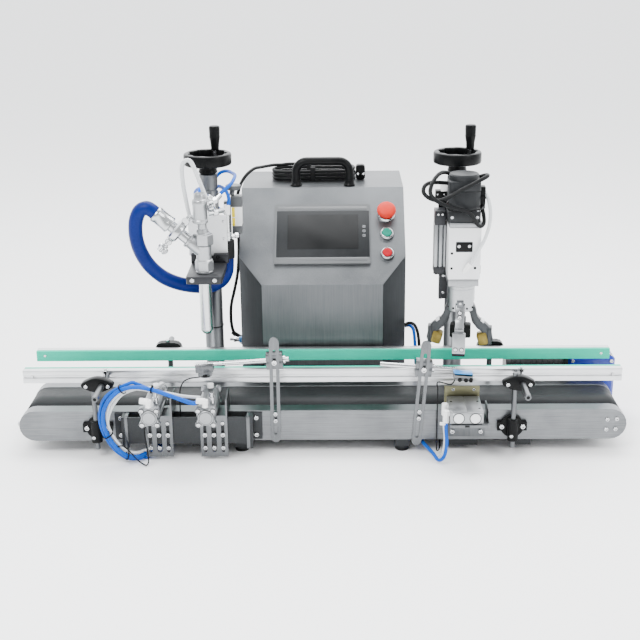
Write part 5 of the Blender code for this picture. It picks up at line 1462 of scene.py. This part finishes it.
def jaws():
    """Four bent fingers; the side ones carry brass pads, the front and rear ones rubber."""
    half = 8.5
    for index, side in enumerate(("front", "right", "rear", "left")):
        place = jaw_turn(index)
        body = f"jaw_{side}"
        arm = Solid(place)
        arm.prism(JAW_OUTLINE, -half, half, "YZ", 0.9)
        material = "clear_aluminium" if side == "front" else "finger_painted_shade"
        arm.piece(f"{body}_arm", material, body, f"cap_jaw_{side}")
        wide = 21 if side == "rear" else 11.8
        pad = Solid(place)
        soft = "brass" if side in ("left", "right") else "rubber"
        if soft == "brass":
            lean = Matrix.Rotation(math.radians(-16), 4, "X")
            pad.block((-wide, -56, 142.5), (wide, -35, 168.5), 4.4, lean)
        else:
            pad.block((-wide, -55, 141), (wide, -32, 170), 3.6)
        pad.piece(f"{body}_pad", soft, body)
        if side == "front":
            outline = rounded((-12.5, 142.5), (12.5, 183.5), 1.2, 2)
            face = Solid(place).prism(outline, -65, -54.5, "XZ", 0.8)
            face.block((-8.8, -56, 183), (8.8, -48, 190))
            face.piece("jaw_front_face", "clear_aluminium", body)
            toe = Solid(place)
            toe.block((-12.3, -64.8, 137.2), (12.3, -54, 142.6), 1)
            for x in (-6, 6):
                start = (x, -64.8, 151.5)
                toe.ring(4.7, 3.7, start, (start[0], start[1] - 0.8, start[2]), 24, 0.1)
            for z in (206.5, 216):
                start = (0, -31.8, z)
                toe.ring(4.7, 3.7, start, (start[0], start[1] - 1.2, start[2]), 24, 0.1)
            toe.piece("jaw_front_toe", "rubber", body)
            screws = Solid(place)
            screws.screws([(x, -65, 151.5) for x in (-6, 6)], -Y, 3.6, 1.4)
            screws.screws([(0, -32.2, z) for z in (206.5, 216)], -Y, 3.6, 1.8)
            screws.piece("jaw_front_screws", "screw_steel", body)
        else:
            # Tip of the side and rear jaws, in the same painted-shade finish as their arms.
            tip = Solid(place).block((-10.8, -63.2, 144), (10.8, -54.5, 180), 2)
            tip.piece(f"{body}_tip", "finger_painted_shade", body)
            # A pale strip along the bend of each of these jaws: a painted highlight where the
            # bend's edge catches the light.
            lean = Matrix.Rotation(math.radians(37), 4, "X")
            painted_bend_highlight = Solid(place).block((-8.8, -48, 190.9), (8.8, -40, 194.1), 0.4, lean)
            painted_bend_highlight.piece(f"{body}_mark", "white_metal", body)


# ---------------------------------------------------------------- cabinet
PANEL = Matrix.Translation((1.6, 180, 235)) @ Matrix.Rotation(math.radians(44.0), 4, "X")
SCREEN = (0, 119.7, 200.4, 146.5)
BUTTON_X = 135.2
BUTTONS = (
    ("emergency_stop", "estop_button", 168.5), ("start_button", "start_push", 120.2),
    ("stop_button", "stop_push", 71.8),
)


def cabinet():
    """Cabinet, its panel with the screen and the buttons, the handle and the lines beside it."""
    dress("cabinet_shell", "steel_sheet", 1)
    dress("cabinet_rear_cover", "steel_sheet", 0.6)
    # Thin skins on the cabinet's two chamfered corners, in a darker copy of its steel: painted
    # shade on the faces that turn from the light.
    foot = -plate_height() / 2
    low_top, high_top = 234.4, 281.2
    for name, place, heights in (
        ("left", Matrix.Translation((-171.9, 228.7, 0)), (high_top, low_top)),
        ("right", Matrix.Translation((126.4, 180, 0)), (low_top, high_top)),
    ):
        turn = Matrix.Rotation(math.radians(-45 if name == "left" else 45), 4, "Z")
        skin = Solid(place @ turn)
        outline = [(0.8, foot), (68.1, foot), (68.1, heights[1]), (0.8, heights[0])]
        skin.prism(outline, -0.6, 0.2, "XZ", 0)
        skin.piece(f"cabinet_bend_painted_shade_{name}", "steel_painted_shade")
    x, up, width, height = SCREEN
    left, right, low, high = x - width / 2, x + width / 2, up - height / 2, up + height / 2
    bezel = Solid(PANEL)
    outer = rounded((left, low), (right, high), 3, 4)
    inner = rounded((left + 6.2, low + 6.2), (right - 6.2, high - 6.2), 2, 4)
    bezel.band(outer, inner, 0.3, 5.2)
    wide = rounded((left + 0.6, low + 0.6), (right - 0.6, high - 0.6), 2.6, 4)
    bezel.band(wide, inner, 5, 6)
    bezel.blocks(
        0.4, ((left + 6, low + 6, 3), (right - 6, 62.7, 6)),
        ((left + 6, 175.1, 3), (right - 6, high - 6, 6)),
    )
    bezel.block((left + 4, low + 4, 0.6), (right - 4, high - 4, 4.4), 0)
    bezel.block((left + 6, low + 6, -34), (right - 6, high - 6, 1), 1)
    bezel.piece("screen_bezel", "panel_grey", "machine", "touch_screen")
    glass = Solid(PANEL).block((-96.1, 62.5, 4), (98.6, 175.3, 6.6), 0.4)
    glass.piece("screen_frame", "screen_edge")
    display = Solid(PANEL).prism(rounded((-73.2, 81.2), (75.7, 165.9), 0.8, 2), 6, 6.9, "XY", 0.2)
    display.piece("screen_display", "screen_glass")
    icons = Solid(PANEL)
    for k, v in enumerate((136, 125, 114)):
        icons.band(
            rounded((84.6, v - 2.8), (90.2, v + 2.8), 1, 2),
            rounded((85.4, v - 2), (89.4, v + 2), 0.6, 2), 6.4, 6.8,
        )
        icons.block((86.6 + 0.4 * k, v - 0.9, 6.4), (88.2, v + 0.9, 6.8), 0)
    icons.piece("screen_icons", "clear_aluminium")

    for name, body, v in BUTTONS:
        collar = Solid(PANEL @ Matrix.Translation((BUTTON_X, v, 0)))
        cap = Solid(PANEL @ Matrix.Translation((BUTTON_X, v, 0)))
        if name == "emergency_stop":
            collar.lathe(
                [(11.6, 0.3), (18.5, 0.3), (18.5, 3), (16, 6), (11.6, 6)], (0, 0, 0), Z, 56,
            )
            cap.lathe(
                [
                    (0, -25), (9.8, -25), (9.8, 11.5), (15, 12.5), (16, 14), (19.6, 16), (20, 18),
                    (19.7, 20.6), (18.2, 23.6), (15, 25.6), (9, 26.6), (0, 26.8),
                ],
                (0, 0, 0), Z, 64,
            )
            cap.piece("estop_cap", "estop_red", body, name)
        else:
            collar.lathe(
                [
                    (10.1, 0.3), (14.8, 0.3), (14.8, 4), (14, 6.2), (12.2, 8), (11.2, 8.4),
                    (10.1, 7.8),
                ],
                (0, 0, 0), Z, 56,
            )
            cap.lathe(
                [(0, -25), (9.8, -25), (9.8, 8.8), (9.6, 9.8), (8.4, 10.2), (3, 9.5), (0, 9.4)],
                (0, 0, 0), Z, 48,
            )
            colour = "green_button" if name == "start_button" else "red_button"
            cap.piece(f"{name}_cap", colour, body, name)
        collar.piece(f"{name}_collar", "screw_steel")

    low, high = layout_box("carry_handle")
    radius = 9
    foot, top = low.z, high.z - radius
    bend = 23
    left, right, y = low.x + radius, high.x - radius, (low.y + high.y) / 2
    path = [(left, foot), (left, foot + 12)]
    path += arc((left + bend, top - bend), bend, 180, 90, 8)
    path += arc((right - bend, top - bend), bend, 90, 0, 8)
    path += [(right, foot + 12), (right, foot)]
    handle = Solid().tube([(px, y, pz) for px, pz in path], radius, 28)
    for px in (left, right):
        handle.lathe(
            [(0, 0), (12.5, 0), (12.5, 2), (10.5, 5), (9.5, 12), (0, 12)], (px, y, foot), Z, 40,
        )
    handle.piece("handle", "gloss_black", "machine", "carry_handle")
    screws = Solid()
    back = layout_box("cabinet_rear_cover")[1].y
    screws.screws(
        [(px, back, pz) for px in (-155, 1.6, 158) for pz in (-18, 190, 380)], Y, 3.6, 1.8,
    )
    screws.piece("cover_screws", "screw_steel")
    rear = layout_box("rear_side_plate")[1].y - 1
    lines = (
        (
            (173, 240, 125), (185, 233, 133), (196, 226, 130), (203, 218, 110), (206, 206, 70),
            (207, 190, 30), (207, rear, 5),
        ),
        (
            (173, 250, 120), (186, 242, 124), (194, 234, 116), (197, 220, 85), (198, 202, 45),
            (198, 185, 18), (198, rear, 0),
        ),
    )
    for k, (line, material) in enumerate(zip(lines, ("cord_rubber", "blue_tube"))):
        hose(f"cabinet_line_{k}", line, 3.4, material, "machine", 12, 5)
def main():
    camera()
    studio()
    mains_lead()
    conveyor()
    drive()
    guide_rails()
    rail_supports()
    sensors()
    bottle_stops()
    bottle_clamp()
    columns()
    fill_carriage()
    fill_valve()
    fill_hoses()
    cap_carriage()
    cap_head()
    chuck()
    jaws()
    cabinet()


main()
